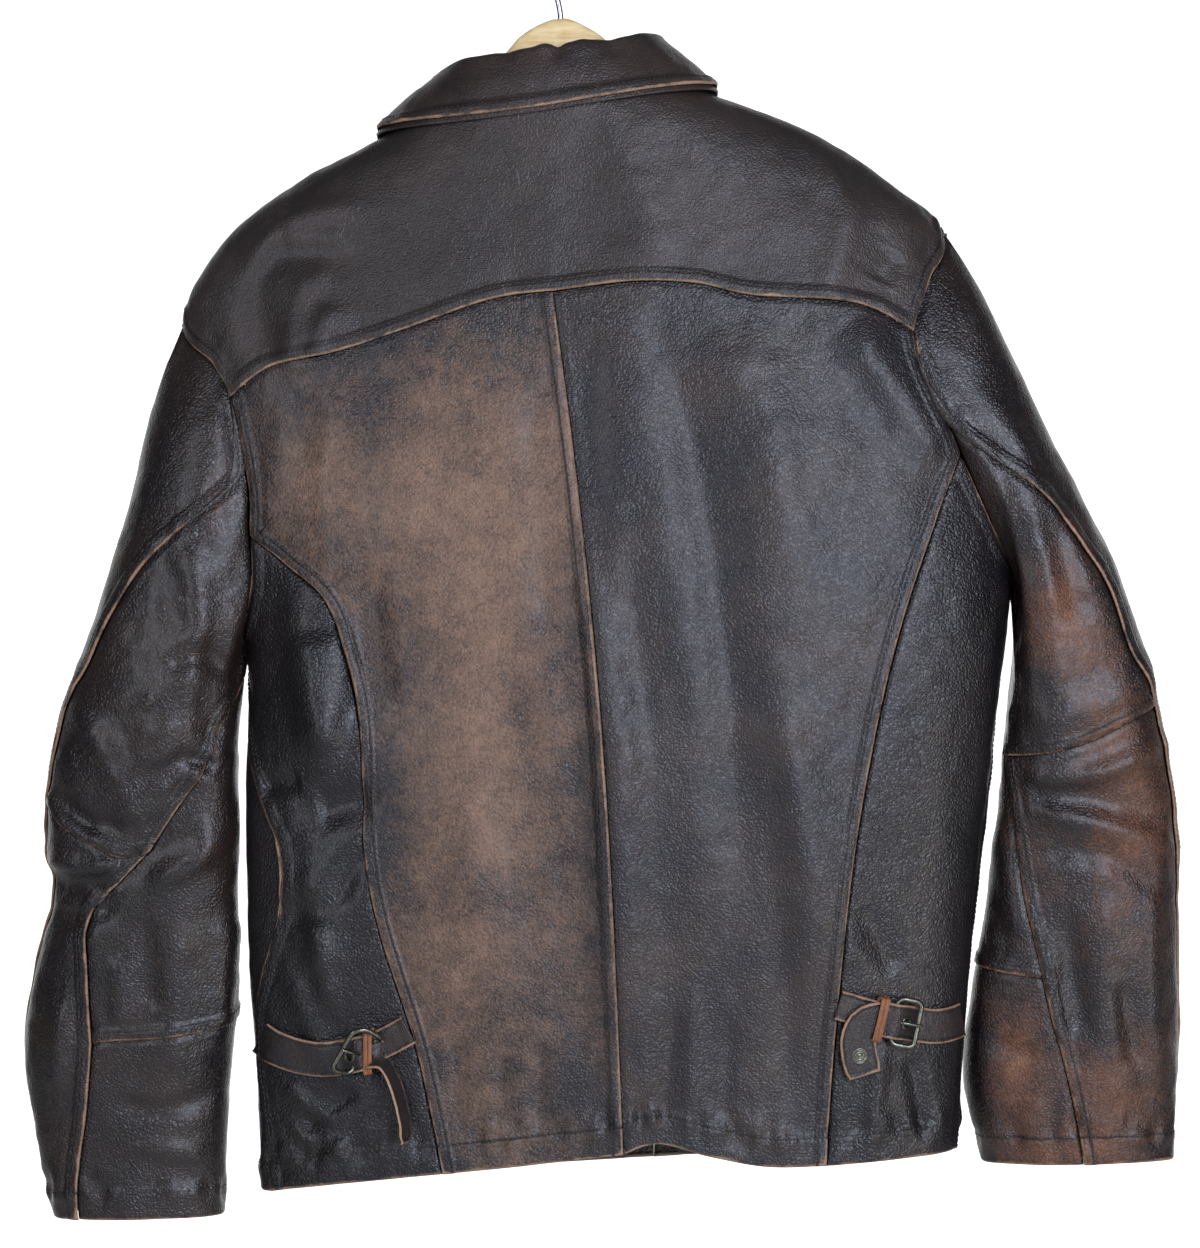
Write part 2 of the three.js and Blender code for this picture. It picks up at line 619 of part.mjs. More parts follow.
for (const [side, sign] of Object.entries(sides)) {
  const princessRun = seam(princess[side], sideRows);
  const armUpper = stitchRun(side, mark.princess, mark.yokeBack, 'body');
  const armLower = stitchRun(side, mark.princess, mark.side, 'body');
  const sideRun = seam(sideSeam[side], sideRows);
  if (side === 'right') for (const place of sideRun) place[0] = -90;
  sideRun.splice(sideRows - 3, 4, ...line(sideRun[sideRows - 3], armLower.at(-1), 3));
  sideRun[sideRows] = armLower.at(-1);
  princessRun[sideRows] = armLower[0];

  const backEdge = [...princessRun.slice(0, sideRows), ...armUpper];
  const hemBack = seam(hemLine[side].slice(0, side === 'left' ? 4 : 5), backColumns);
  hemBack[0] = centreSeam[0];
  hemBack[backColumns] = princessRun[0];
  const yokeRun = seam(yokeSeam[side], backColumns);
  yokeRun[0] = centreSeam.at(-1);
  yokeRun[backColumns] = armUpper.at(-1);
  const back = net(hemBack, yokeRun, centreSeam, backEdge);
  const panel = (grid) => wall(grid.map((row) => row.map(onBody)), leather, undefined, true);
  add(`back_${side}`, panel(back), colours.back);

  const hemSide = line(princessRun[0], sideRun[0], mark.side - mark.princess);
  add(`side_${side}`, panel(net(hemSide, armLower, princessRun, sideRun)), colours.dark);

  // Front: from the side seam to the centre, up to the neck and the front yoke seam
  const yokeSteps = 5;
  const neckSteps = 8;
  const armFront = stitchRun(side, mark.side, mark.yokeFront, 'body');
  const centreTurn = sign * 180 + frontMeet;
  const neckCorner = [sign * neckFront, neckLevel];
  const yokeFrontRun = line(armFront.at(-1), neckCorner, yokeSteps);
  yokeFrontRun[0] = armFront.at(-1);
  const outer = [...sideRun.slice(0, sideRows), ...armFront, ...yokeFrontRun.slice(1)];
  const top = line(neckCorner, [centreTurn, neckLevel], neckSteps);
  const centre = line([centreTurn, frontHemLevel], [centreTurn, neckLevel], outer.length - 1);
  const hemFront = line(sideRun[0], centre[0], neckSteps);
  const under = side === 'right';
  const front = net(hemFront, top, outer, centre).map((row) => row.map((place) => {
    const { p, n } = onBody(place);
    const fromCentre = Math.abs(Math.abs(place[0]) - 180) * 3;
    const sink = under ? frontOverlap * (1 - ease((fromCentre - 26) / 60)) : 0;
    return { p: p.clone().addScaledVector(n, -sink), n };
  }));
  add(`front_${side}`, wall(front, leather, curvedSeamGap, true), colours.dark);
  corners[side] = { yokeRun, yokeFrontRun };
}

// Yoke: its lower edge runs from the left front yoke seam over both shoulders to the right one
{
  const rows = 5;
  const leftArm = stitchRun('left', mark.yokeFront, loopCount + mark.yokeBack, 'body');
  const rightArm = stitchRun('right', loopCount + mark.yokeBack, mark.yokeFront, 'body');
  const leftSeam = corners.left.yokeRun.slice(0, -1).reverse();
  const rightSeam = corners.right.yokeRun.slice(1, -1);
  const lower = [...leftArm, ...leftSeam, ...rightSeam, ...rightArm];
  const shoulder = loopCount - mark.yokeFront;
  const neckTurns = [
    ...line([neckFront], [90], shoulder),
    ...line([90], [neckBack], mark.yokeBack).slice(1),
    ...line([neckBack], [0], backColumns).slice(1),
  ].flat();
  const otherTurns = neckTurns.slice(0, -1).reverse().map((turn) => -turn);
  const upper = [...neckTurns, ...otherTurns].map((turn) => [turn, neckLevel]);
  const grid = net(lower, upper, corners.left.yokeFrontRun, corners.right.yokeFrontRun);
  if (grid.length !== rows + 1) throw new Error('the yoke and the front yoke seam differ in rows');
  add('yoke', wall(grid.map((row) => row.map(onBody))), colours.yoke);
}

// ---- Sleeve pieces ----
for (const side of Object.keys(sides)) {
  const { at, place } = sleeves[side];
  const cut = sleeveSeams[side];
  const places = (points, steps) => spaced(points, steps).map(place);
  const from = (mark0, points, steps) => {
    const run = places(points, steps);
    const start = sleeves[side].stitches[mark0].sleeve;
    return run.map((spot, k) => (k === 0 ? start : spot));
  };
  const startPoint = (k) => {
    const { p } = sleeves[side].stitches[k].sleeve[2];
    return [p.x, p.z];
  };
  const topSeam = from(mark.yokeBack, [startPoint(mark.yokeBack), ...cut.top], elbowRow);
  const outerSeam = line(topSeam.at(-1), [outerForearmTurn, 1], sleeveRows - elbowRow);
  const seamA = [...topSeam, ...outerSeam.slice(1)];
  const underSeam = from(mark.underarm, [startPoint(mark.underarm), ...cut.under], elbowRow);
  const wristSeam = places(cut.wrist, wristRow - elbowRow);
  const cuffSeam = places(cut.cuff, sleeveRows - wristRow);
  wristSeam[0] = underSeam.at(-1);
  cuffSeam[0] = wristSeam.at(-1);
  const seamB = [...underSeam, ...wristSeam.slice(1), ...cuffSeam.slice(1)];
  seamB[sleeveRows] = [seamB[sleeveRows][0], 1];
  const startC = sleeves[side].stitches[mark.underFront].sleeve;
  const seamC = seamB.map((_, k) => mix([startC[0], 0], [frontSeamTurn, 1], k / sleeveRows));
  seamC[0] = startC;

  const backColumnsHere = mark.underarm - mark.yokeBack;
  const underColumns = mark.underFront - mark.underarm;
  const topColumns = loopCount + mark.yokeBack - mark.underFront;
  const elbowRun = places(cut.elbow, backColumnsHere);
  elbowRun[0] = seamA[elbowRow];
  elbowRun[backColumnsHere] = seamB[elbowRow];
  const wristRun = line(seamB[wristRow], seamC[wristRow], underColumns);
  const part = (a, b) => [seamA.slice(a, b + 1), seamB.slice(a, b + 1), seamC.slice(a, b + 1)];
  const make = (name, grid, finish = (points) => points) => {
    add(`sleeve_${side}_${name}`, wall(finish(grid.map((row) => row.map(at)))), colours.sleeve);
  };

  const [a0, b0] = part(0, elbowRow);
  make('elbow', net(stitchRun(side, mark.yokeBack, mark.underarm, 'sleeve'), elbowRun, a0, b0), settle);
  const [a1, b1] = part(elbowRow, sleeveRows);
  make('forearm', net(elbowRun, line(a1.at(-1), b1.at(-1), backColumnsHere), a1, b1));
  const [, b2, c2] = part(0, wristRow);
  const underEdge = stitchRun(side, mark.underarm, mark.underFront, 'sleeve');
  make('under_upper', net(underEdge, wristRun, b2, c2), settle);
  const [, b3, c3] = part(wristRow, sleeveRows);
  make('under_lower', net(wristRun, line(b3.at(-1), c3.at(-1), underColumns), b3, c3));
  const lap = (run) => run.map(([turn, ...rest]) => [turn - 360, ...rest]);
  const topEdge = stitchRun(side, mark.underFront, loopCount + mark.yokeBack, 'sleeve');
  make('top', net(topEdge, line(seamC.at(-1), lap(seamA).at(-1), topColumns), seamC, lap(seamA)));
}

// ---- Collar: a stand that leans in, rolls over and falls outside ----
function collarPoint(turn, share, depthIn) {
  const neck = onBody([turn, neckLevel]).p;
  const front = Math.max(0, -Math.cos(turn * deg));
  const frontDrop = 58 * ease((Math.abs(turn) - 95) / 70);
  const fallLevel = neckLevel - 9 - 3 * Math.abs(Math.sin(turn * deg)) - frontDrop;
  const edge = onBody([turn, fallLevel]);
  const rise = fallEdgeRise + 2.5 * Math.abs(Math.sin(turn * deg)) + 6 * front;
  const foot = edge.p.clone().addScaledVector(edge.n, rise);
  const away = new THREE.Vector3(Math.sin(turn * deg), Math.cos(turn * deg), 0).normalize();
  const stand = standHeight - 8 * front;
  const lean = 7 + 20 * Math.abs(Math.sin(turn * deg)) ** 2 - 5 * front;
  const flat = (out, up) => neck.clone().addScaledVector(away, out).add(new THREE.Vector3(0, 0, up));
  const crown = [-lean, stand - foldRadius];
  const footFlat = [foot.clone().sub(neck).dot(away), foot.z - neck.z];
  let spot;
  let normal;
  const start = [-5, 3.4 + 1.5 * front];
  if (share < 0.3) {
    const f = share / 0.3;
    spot = mix(start, [crown[0] - foldRadius, crown[1]], f);
    normal = [-1, -0.2];
  } else if (share < 0.55) {
    const turnHere = Math.PI * (1 - ((share - 0.3) / 0.25) * 0.85);
    normal = [Math.cos(turnHere), Math.sin(turnHere)];
    spot = [crown[0] + foldRadius * normal[0], crown[1] + foldRadius * normal[1]];
  } else {
    const end = Math.PI * 0.15;
    const first = [crown[0] + foldRadius * Math.cos(end), crown[1] + foldRadius * Math.sin(end)];
    const f = (share - 0.55) / 0.45;
    spot = mix(first, footFlat, f);
    const slope = [footFlat[0] - first[0], footFlat[1] - first[1]];
    const size = Math.hypot(...slope);
    normal = mix([Math.cos(end), Math.sin(end)], [-slope[1] / size, slope[0] / size], ease(f * 3));
  }
  const size = Math.hypot(...normal);
  const n = away.clone().multiplyScalar(normal[0] / size).add(new THREE.Vector3(0, 0, normal[1] / size));
  return { p: flat(...spot).addScaledVector(n, -depthIn), n };
}

const collarShares = [0, 0.15, 0.3, 0.38, 0.465, 0.55, 0.78, 1];
for (const [name, depthIn, reach] of [['collar_top', 0, 0.96], ['collar_under', leather + collarGap, 1]]) {
  const grid = collarShares.map((share) => line([collarEndTurn], [-collarEndTurn], collarColumns)
    .map(([turn]) => collarPoint(turn, Math.min(share, reach), depthIn)));
  add(name, wall(grid), colours.collar);
}

// ---- Adjusters ----
// A spot on an adjuster: u along the strap's middle line from the heel bar towards the side seam,
// v across it and h above the body's leather.
for (const [side, sign] of Object.entries(sides)) {
  const spec = adjusters[side];
  const path = curve(spec.line);
  const samples = path.getSpacedPoints(240);
  const stepLength = path.getLength() / 240;
  const heel = new THREE.Vector2(...spec.heel);
  const heelGaps = samples.map((q) => q.distanceTo(heel));
  const heelIndex = heelGaps.indexOf(Math.min(...heelGaps));
  const seamU = heelIndex * stepLength;
  const tipU = -(240 - heelIndex) * stepLength;
  const spot = (middle, direction, v, h) => {
    const place = [middle.x - direction.y * v, middle.y + direction.x * v];
    const { p, n } = onSkin(place);
    return { p: p.clone().addScaledVector(n, h), n };
  };
  const onStrap = (u, v, h) => {
    const k = clamp(heelIndex - u / stepLength, 0, 240) / 240;
    return spot(path.getPointAt(k), path.getTangentAt(k), v, h);
  };
  const half = strapWidth / 2;

  // Long strap: flat on the side panel, up through the frame, over the heel bar, then the tongue
  const heelTop = frameHeight + wireRadius + layGap + strapLeather + layGap;
  const tongueHeight = keeperHeight - 0.4;
  const liftRows = [
    ...line([seamU - 1, strapRise], [frameReach + 4, strapRise], 6), [frameReach - 1.5, strapRise],
    [frameReach - 4, strapRise + 1], [4, heelTop - 2], [1.5, heelTop], [-2, heelTop],
    [keeperPlace + 4, keeperHeight], [keeperPlace - 4, tongueHeight], [keeperPlace - 8, tongueHeight],
  ];
  const tailSteps = 9;
  const stand = spec.tongueStand * deg;
  for (let k = 1; k <= tailSteps; k += 1) {
    const f = k / tailSteps;
    const standOff = spec.tongueStand ? 14 * ease(f * 2.5) : 0;
    liftRows.push([keeperPlace - 8 + (tipU - keeperPlace + 8) * f, tongueHeight + standOff]);
  }
  const longAt = ([u, h], v) => {
    const twist = stand * ease((keeperPlace - 8 - u) / 18);
    const narrow = 1 - 0.45 * ease((tipU + 8 - u) / 8);
    const offset = v * narrow;
    const { p, n } = onStrap(u, offset * Math.cos(twist), h + strapLeather + Math.sin(twist) * offset);
    if (!twist) return { p, n };
    const across = onStrap(u, 5, h).p.sub(onStrap(u, -5, h).p).normalize();
    return { p, n: n.clone().multiplyScalar(Math.cos(twist)).addScaledVector(across, -Math.sin(twist)) };
  };
  const longGrid = liftRows.map((row) => [-half, 0, half].map((v) => longAt(row, v)));
  add(`strap_long_${side}`, wall(longGrid, strapLeather, 0), '#3a2c25');

  // Short strap: from the princess seam, under the heel bar and back over it
  const anchor = curve(spec.anchor);
  const anchorLength = anchor.getLength();
  const wrap = wireRadius + layGap;
  const low = frameHeight - wrap - strapLeather;
  const shortRows = [[-anchorLength + 1, strapRise, 0], [-anchorLength * 0.7, strapRise + 1, 0],
    [keeperPlace - 4, 2.6, 0], [keeperPlace + 4, 2.6, 0], [-4, low, 0]];
  for (let k = 0; k <= 6; k += 1) shortRows.push([0, 0, k * 30]);
  const shortOnPath = (u, v, h) => (u >= 0 ? onStrap(u, v, h) : (() => {
    const k = clamp(1 + u / anchorLength, 0, 1);
    return spot(anchor.getPointAt(k), anchor.getTangentAt(k).negate(), v, h);
  })());
  const shortAt = ([u, h, bend], v) => {
    const blendTo = ease((u + 6) / 6);
    if (u < 0) {
      const a = shortOnPath(u, v, h);
      const b = onStrap(u, v, h);
      return { p: a.p.lerp(b.p, blendTo), n: a.n };
    }
    const turn = bend * deg;
    const { p, n } = onStrap(wrap * Math.sin(turn), v, frameHeight - wrap * Math.cos(turn));
    const along = onStrap(4, v, 5).p.sub(onStrap(-4, v, 5).p).normalize();
    return { p, n: along.multiplyScalar(-Math.sin(turn)).addScaledVector(n, Math.cos(turn)) };
  };
  const shortGrid = shortRows.map((row) => [-1, 0, 1].map((v) => {
    const q = shortAt(row, v * half * 0.84);
    return row[0] < 0 ? { p: q.p.addScaledVector(q.n, strapLeather), n: q.n } : q;
  }));
  add(`strap_short_${side}`, wall(shortGrid, strapLeather, 0), '#33271f');

  // Buckle frame: a rounded rectangle of wire, its heel bar at u = 0
  const rectangle = [];
  const corner = 3.5;
  for (const [cu, cv, start] of [
    [frameReach - corner, frameHalf - corner, 0], [corner, frameHalf - corner, 90],
    [corner, corner - frameHalf, 180], [frameReach - corner, corner - frameHalf, 270],
  ]) {
    for (const bend of [0, 45, 90]) {
      const turn = (start + bend) * deg;
      rectangle.push(onStrap(cu + corner * Math.cos(turn), cv + corner * Math.sin(turn), frameHeight).p);
    }
  }
  add(`buckle_frame_${side}`, wire(rectangle, wireRadius, 8, true), '#6d6f62', 0.4, 0.9);

  // Prong: from the eyelet, resting on the far bar
  const prongLine = [[7.5, 10.2], [10, 10.1], [13, 9.4], [16, 9.2], [18, 8.4]];
  const prong = prongLine.map(([u, h]) => onStrap(u, 0, h).p);
  add(`buckle_prong_${side}`, wire(prong, 1, 6), '#6d6f62', 0.4, 0.9);

  // Eyelet: a flat ring on the strap where it climbs through the frame
  const ring = [];
  const eyeU = frameReach / 2;
  const eyeSlope = (heelTop - 3.2) / (frameReach - 8);
  for (let k = 0; k < 12; k += 1) {
    const turn = (k * 30) * deg;
    const u = eyeU + 1.2 + 2.6 * Math.cos(turn);
    const h = 2.4 + eyeSlope * (frameReach - 4 - u) + strapLeather * 1.35;
    ring.push(onStrap(u, 3.4 * Math.sin(turn), h).p);
  }
  add(`eyelet_${side}`, wire(ring, 0.6, 6, true), '#6d6f62', 0.4, 0.9);

  // Keeper: a band round both straps
  const band = [];
  const [bottom, top] = [0.6, keeperHeight + strapLeather + 2];
  const bandThick = 1.3;
  const reach = half + 4.2;
  const outside = [[-reach, bottom], [reach, bottom], [reach, top], [-reach, top]];
  const inside = outside.map(([v, h]) => [
    v - Math.sign(v) * bandThick,
    h === bottom ? h + bandThick - 0.2 : h - bandThick,
  ]);
  for (const u of [keeperPlace + 3.5, keeperPlace - 3.5]) {
    band.push(outside.map(([v, h]) => onStrap(u, v, h).p));
    band.push(inside.map(([v, h]) => onStrap(u, v, h).p));
  }
  const keeperPoints = band.flat();
  const keeperFaces = [];
  const face = (a, b, c, d) => keeperFaces.push(a, b, c, a, c, d);
  for (let k = 0; k < 4; k += 1) {
    const m = (k + 1) % 4;
    face(k, m, 8 + m, 8 + k);
    face(4 + m, 4 + k, 12 + k, 12 + m);
    face(m, k, 4 + k, 4 + m);
    face(8 + k, 8 + m, 12 + m, 12 + k);
  }
  const keeper = solid(keeperPoints, keeperFaces);
  add(`keeper_${side}`, keeper, '#a8703f', 0.6);

  if (side === 'right') {
    const { p, n } = onStrap(tipU + 10, 0, keeperHeight + strapLeather + layGap);
    const snap = add('snap_right', new THREE.CylinderGeometry(4.6, 5.6, 2, 20), '#4a4a44', 0.4, 0.9);
    snap.position.copy(p).addScaledVector(n, 1.2);
    snap.quaternion.setFromUnitVectors(new THREE.Vector3(0, 1, 0), n);
  }
}

// ---- Front buttons ----
for (let k = 0; k < buttonCount; k += 1) {
  const { p, n } = onBody([180, lowestButton + k * buttonStep]);
  p.y = -Math.max(...[-buttonRadius, 0, buttonRadius].map((step) => skinDepth([p.x, p.z + step], -1)));
  const disc = new THREE.CylinderGeometry(buttonRadius, buttonRadius, buttonThick, 20);
  const button = add(`button_${k + 1}`, disc, '#2b211c', 0.4);
  button.position.copy(p).addScaledVector(n, buttonThick / 2 + 2 * layGap);
  button.quaternion.setFromUnitVectors(new THREE.Vector3(0, 1, 0), n);
}

// ---- Hanger ----
{
  const topLine = [
    ...spaced([...hangerTop].reverse(), 9),
    ...spaced([[-30, -82], domeTop, [16, -84]], 6),
    ...spaced(hangerTopLeft, 9),
  ];
  const outline = new THREE.Shape(topLine.map(([x, z]) => new THREE.Vector2(x, z)));
  const lower = spaced(hangerBottom, 16);
  for (const [x, z] of lower) outline.lineTo(x, z);
  const wood = new THREE.ExtrudeGeometry(outline, { depth: hangerThick, bevelEnabled: false, steps: 1 });
  wood.rotateX(Math.PI / 2);
  wood.translate(0, hangerThick / 2, 0);
  wood.deleteAttribute('normal');
  wood.deleteAttribute('uv');
  add('hanger_wood', wood, '#e8cf96', 0.5);

  const stem = [[-8.2, -73.5], [-6, -60], [-3, -50], [2, -44]];
  const points = stem.map(([x, z]) => new THREE.Vector3(x, 0, z));
  const centre = hookWire - hookRadius;
  for (let turn = -70; turn <= 185; turn += 15) {
    const [x, z] = [hookRadius * Math.cos(turn * deg), centre + hookRadius * Math.sin(turn * deg)];
    points.push(new THREE.Vector3(x, 0, z));
  }
  add('hanger_hook', wire(points, hookWire, 8), '#b9bcbd', 0.3, 1);
}

export default jacket;
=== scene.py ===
import bpy
import numpy as np
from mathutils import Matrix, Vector


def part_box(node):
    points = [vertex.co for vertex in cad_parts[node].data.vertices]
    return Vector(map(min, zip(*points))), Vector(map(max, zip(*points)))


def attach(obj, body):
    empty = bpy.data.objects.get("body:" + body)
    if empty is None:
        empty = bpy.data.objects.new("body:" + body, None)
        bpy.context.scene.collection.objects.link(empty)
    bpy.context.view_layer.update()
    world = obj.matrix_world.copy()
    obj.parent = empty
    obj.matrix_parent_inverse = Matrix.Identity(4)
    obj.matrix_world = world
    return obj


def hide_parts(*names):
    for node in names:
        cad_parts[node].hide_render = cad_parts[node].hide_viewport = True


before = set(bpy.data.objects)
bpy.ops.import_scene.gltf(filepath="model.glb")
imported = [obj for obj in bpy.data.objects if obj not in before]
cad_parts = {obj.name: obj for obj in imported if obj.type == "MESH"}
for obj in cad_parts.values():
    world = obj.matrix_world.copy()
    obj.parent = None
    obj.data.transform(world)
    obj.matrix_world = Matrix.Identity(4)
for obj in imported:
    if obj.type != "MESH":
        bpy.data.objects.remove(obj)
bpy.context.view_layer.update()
metres = 0.001
sides = {"left": 1, "right": -1}

print("stage: frame loaded, nodes", len(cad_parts))


# Numbers are worked on as whole arrays.
def unit(vectors):
    return vectors / np.maximum(np.linalg.norm(vectors, axis=-1, keepdims=True), 1e-9)


def ease(x):  # 0 below 0, 1 above 1 and x squared times (3 - 2x) between
    x = np.clip(x, 0, 1)
    return x * x * (3 - 2 * x)


def swell(value, power):  # a signed power, which squares a circle off when it is below 1
    return np.sign(value) * np.abs(value) ** power


def bell(x, middle, width):  # 1 at the middle, falling off to both sides over the width
    return np.exp(-(((x - middle) / width) ** 2))


def follow(table, at):  # Hermite curve through the rows of a table, its slopes taken from the rows around
    rows = np.array(table, float)
    if rows[0, 0] > rows[-1, 0]:
        rows = rows[::-1]
    place, values = rows[:, 0], rows[:, 1:]
    last = len(place) - 1
    k = np.clip(np.searchsorted(place, at, side="right") - 1, 0, last - 1)
    before, after = np.maximum(k - 1, 0), np.minimum(k + 2, last)
    span = place[k + 1] - place[k]
    f = ((at - place[k]) / span)[..., None]
    slopeA = (values[k + 1] - values[before]) * (span / (place[k + 1] - place[before]))[..., None]
    slopeB = (values[after] - values[k]) * (span / (place[after] - place[k]))[..., None]
    step = values[k + 1] - values[k]
    return values[k] + f * (slopeA + f * (3 * step - 2 * slopeA - slopeB + f * (slopeA + slopeB - 2 * step)))


def curveAt(points, t):  # Catmull-Rom curve through the points, t from 0 to 1 over evenly counted points
    points = np.array(points, float)
    last = len(points) - 1
    place = np.clip(t, 0, 1) * last
    k = np.minimum(place.astype(int), last - 1)
    f = (place - k)[..., None]
    before, after = points[np.maximum(k - 1, 0)], points[np.minimum(k + 2, last)]
    a, b = points[k], points[k + 1]
    slopeA, slopeB = (b - before) / 2, (after - a) / 2
    return a + f * (slopeA + f * (3 * (b - a) - 2 * slopeA - slopeB + f * (2 * (a - b) + slopeA + slopeB)))


def lengthsAlong(points):  # millimetres from the first point to each one
    return np.concatenate([[0], np.cumsum(np.linalg.norm(np.diff(points, axis=0), axis=1))])


def spaced(points, shares):  # points of that curve at shares of its length
    t = np.linspace(0, 1, 801)
    length = lengthsAlong(curveAt(points, t))
    return curveAt(points, np.interp(np.asarray(shares) * length[-1], length, t))


def noise(places, size, seed):  # smooth value noise, -1 to 1: random heights on a lattice, eased between
    q = places / size
    cell = np.floor(q).astype(np.int64)
    f = q - cell
    f = f * f * (3 - 2 * f)
    total = np.zeros(places.shape[:-1])
    for corner in range(8):
        step = np.array([corner & 1, corner >> 1 & 1, corner >> 2 & 1])
        key = ((cell + step) * np.array([73856093, 19349663, 83492791])).sum(-1) + seed * 9176
        key = (key ^ (key >> 15)) * 2246822519 & 0xFFFFFFFF
        key = (key ^ (key >> 13)) * 3266489917 & 0xFFFFFFFF
        weight = np.prod(np.where(step, f, 1 - f), axis=-1)
        total += weight * (key / 0x7FFFFFFF - 1)
    return total


def bankLift(banks, x, z):  # each fold is a rounded bank along a smooth path that fades out at its ends
    lift = np.zeros(np.shape(x))
    legs = 12
    for path, reach, height in banks:
        spots = curveAt(path, np.linspace(0, 1, legs + 1))
        nearest = np.full(np.shape(x), 1e9)
        share = np.zeros(np.shape(x))
        for k in range(legs):
            (ax, az), (bx, bz) = spots[k], spots[k + 1]
            dx, dz = bx - ax, bz - az
            f = np.clip(((x - ax) * dx + (z - az) * dz) / (dx * dx + dz * dz), 0, 1)
            gap = np.hypot(x - ax - f * dx, z - az - f * dz)
            share = np.where(gap < nearest, (k + f) / legs, share)
            nearest = np.minimum(nearest, gap)
        fade = 0.25 + 0.75 * ease(share * 4) * ease((1 - share) * 4)
        lift += height * fade * bell(nearest, 0, reach)
    return lift


body = {
    # level, left edge x, right edge x, slant of the left edge, half depth, roundness
    "rings": [
        [-920, 199, -279, 13, 57, 0.74],
        [-800, 203, -289, 17, 62, 0.74],
        [-728, 208, -297, 20, 66, 0.74],
        [-605, 212, -312, 24, 72, 0.76],
        [-494, 211, -321, 27, 74, 0.8],
        [-371, 231, -299, 29.5, 69, 0.88],
        [-251.5, 253, -274, 31.5, 60, 0.95],
        [-210, 226, -241, 20, 57, 1],
        [-174, 172, -192, 14.5, 56, 1],
        [-153, 134, -150, 13, 56, 1],
        [-136, 104, -103, 13.3, 56, 1],
    ],
    "neckLevel": -136,
    "frontNeckDip": 72,
    "dipStart": -290,
    "frontHemLevel": -880,
    # folds: path seen from behind, half width, lift
    "folds": [
        [[[-42, -370], [-50, -560], [-64, -820]], 13, 4],
        [[[-24, -420], [-38, -600], [-44, -820]], 12, 4],
        [[[-19, -290], [-36, -411], [-66, -560]], 18, -4],
        [[[-120, -292], [-150, -376], [-165, -480]], 26, 4],
        [[[-148, -551], [-170, -618], [-183, -752]], 26, 5],
        [[[-206, -290], [-240, -335], [-276, -390]], 18, 7],
        [[[152, -323], [139, -425], [133, -470]], 16, 4],
        [[[142, -369], [126, -470], [112, -570]], 15, -5],
        [[[158, -500], [150, -590]], 20, 8],
        [[[120, -618], [160, -628]], 14, -7],
        [[[166, -660], [150, -740]], 18, 5],
        [[[190, -315], [130, -285]], 16, 4],
    ],
}


halvings = 32  # far finer than a millimetre


def plainBody(turn, level):  # a squared ellipse at each level, slanted, its neck dipped in front
    left, right, slant, depth, roundness = np.moveaxis(follow(body["rings"], level), -1, 0)
    across = swell(np.sin(np.radians(turn)), roundness)
    inward = swell(np.cos(np.radians(turn)), roundness)
    front = np.maximum(0, -np.cos(np.radians(turn)))
    rise = ease((level - body["dipStart"]) / (body["neckLevel"] - body["dipStart"]))
    x = (left + right) / 2 + (left - right) / 2 * across
    return np.stack([x, depth * inward, level - slant * across - body["frontNeckDip"] * rise * front], -1)


def bodyAt(places):  # outside points and their outward normals
    turn, level = places[..., 0], places[..., 1]
    across = plainBody(turn + 0.6, level) - plainBody(turn - 0.6, level)
    up = plainBody(turn, level + 1) - plainBody(turn, level - 1)
    n = unit(np.cross(up, across))
    p = plainBody(turn, level)
    behind = ease(np.cos(np.radians(turn)) * 3)
    return p + n * (bankLift(body["folds"], p[..., 0], p[..., 2]) * behind)[..., None], n


def bodyPlace(spots):  # the place on the back of the body that shows at x, z, found by halving
    x, z = spots[..., 0], spots[..., 1]
    low = np.full(x.shape, float(body["rings"][0][0]))
    high = np.full(x.shape, float(body["neckLevel"]))
    for step in range(halvings):
        level = (low + high) / 2
        left, right, slant = np.moveaxis(follow(body["rings"], level), -1, 0)[:3]
        under = level - slant * (x - (left + right) / 2) / ((left - right) / 2) < z
        low, high = np.where(under, level, low), np.where(under, high, level)
    left, right, slant, depth, roundness = np.moveaxis(follow(body["rings"], low), -1, 0)
    share = np.clip((x - (left + right) / 2) / ((left - right) / 2), -1, 1)
    return np.stack([np.degrees(np.arcsin(swell(share, 1 / roundness))), low], -1)


# Seams of the body, as x, z seen from behind.
seams = {
    "centreBack": [[-52, -862], [-47, -740], [-40, -610], [-31, -500], [-18, -380], [-3.5, -269.5]],
    "left": {
        "yoke": [[-3.5, -269.5], [38, -275], [100, -296], [150, -312], [193, -321], [220, -341]],
        "princess": [[72, -876], [90, -790], [115, -710], [126, -650], [130, -560], [150, -487], [180, -458],
                     [206.5, -437]],
        "side": [[193, -892], [203, -771], [184, -690], [186, -648], [198, -600], [205, -560], [207, -530]],
        "armhole": [[253, -283], [234, -315], [220, -341], [208, -400], [206.5, -437], [205, -470],
                    [211, -502], [214, -521]],
        "hem": [[-52, -862], [-10, -867], [35, -872], [72, -876]],
    },
    "right": {
        "yoke": [[-3.5, -269.5], [-57, -263], [-101, -264], [-141, -272], [-212, -277], [-253, -296]],
        "princess": [[-192, -871], [-197, -790], [-206, -690], [-220, -600], [-240, -510], [-266, -430],
                     [-284, -381]],
        "side": [[-280, -864], [-289, -790], [-300, -690], [-312, -590], [-319, -500]],
        "armhole": [[-274, -220], [-266, -256], [-253, -296], [-262, -335], [-284, -381], [-305, -425],
                    [-317, -452], [-321, -467]],
        "hem": [[-52, -862], [-76, -855], [-112, -864], [-150, -871], [-192, -871]],
    },
    "sideRows": 9,
    "backColumns": 8,
    "frontRows": 5,
    "neckBack": 66,
    "neckFront": 118,
}

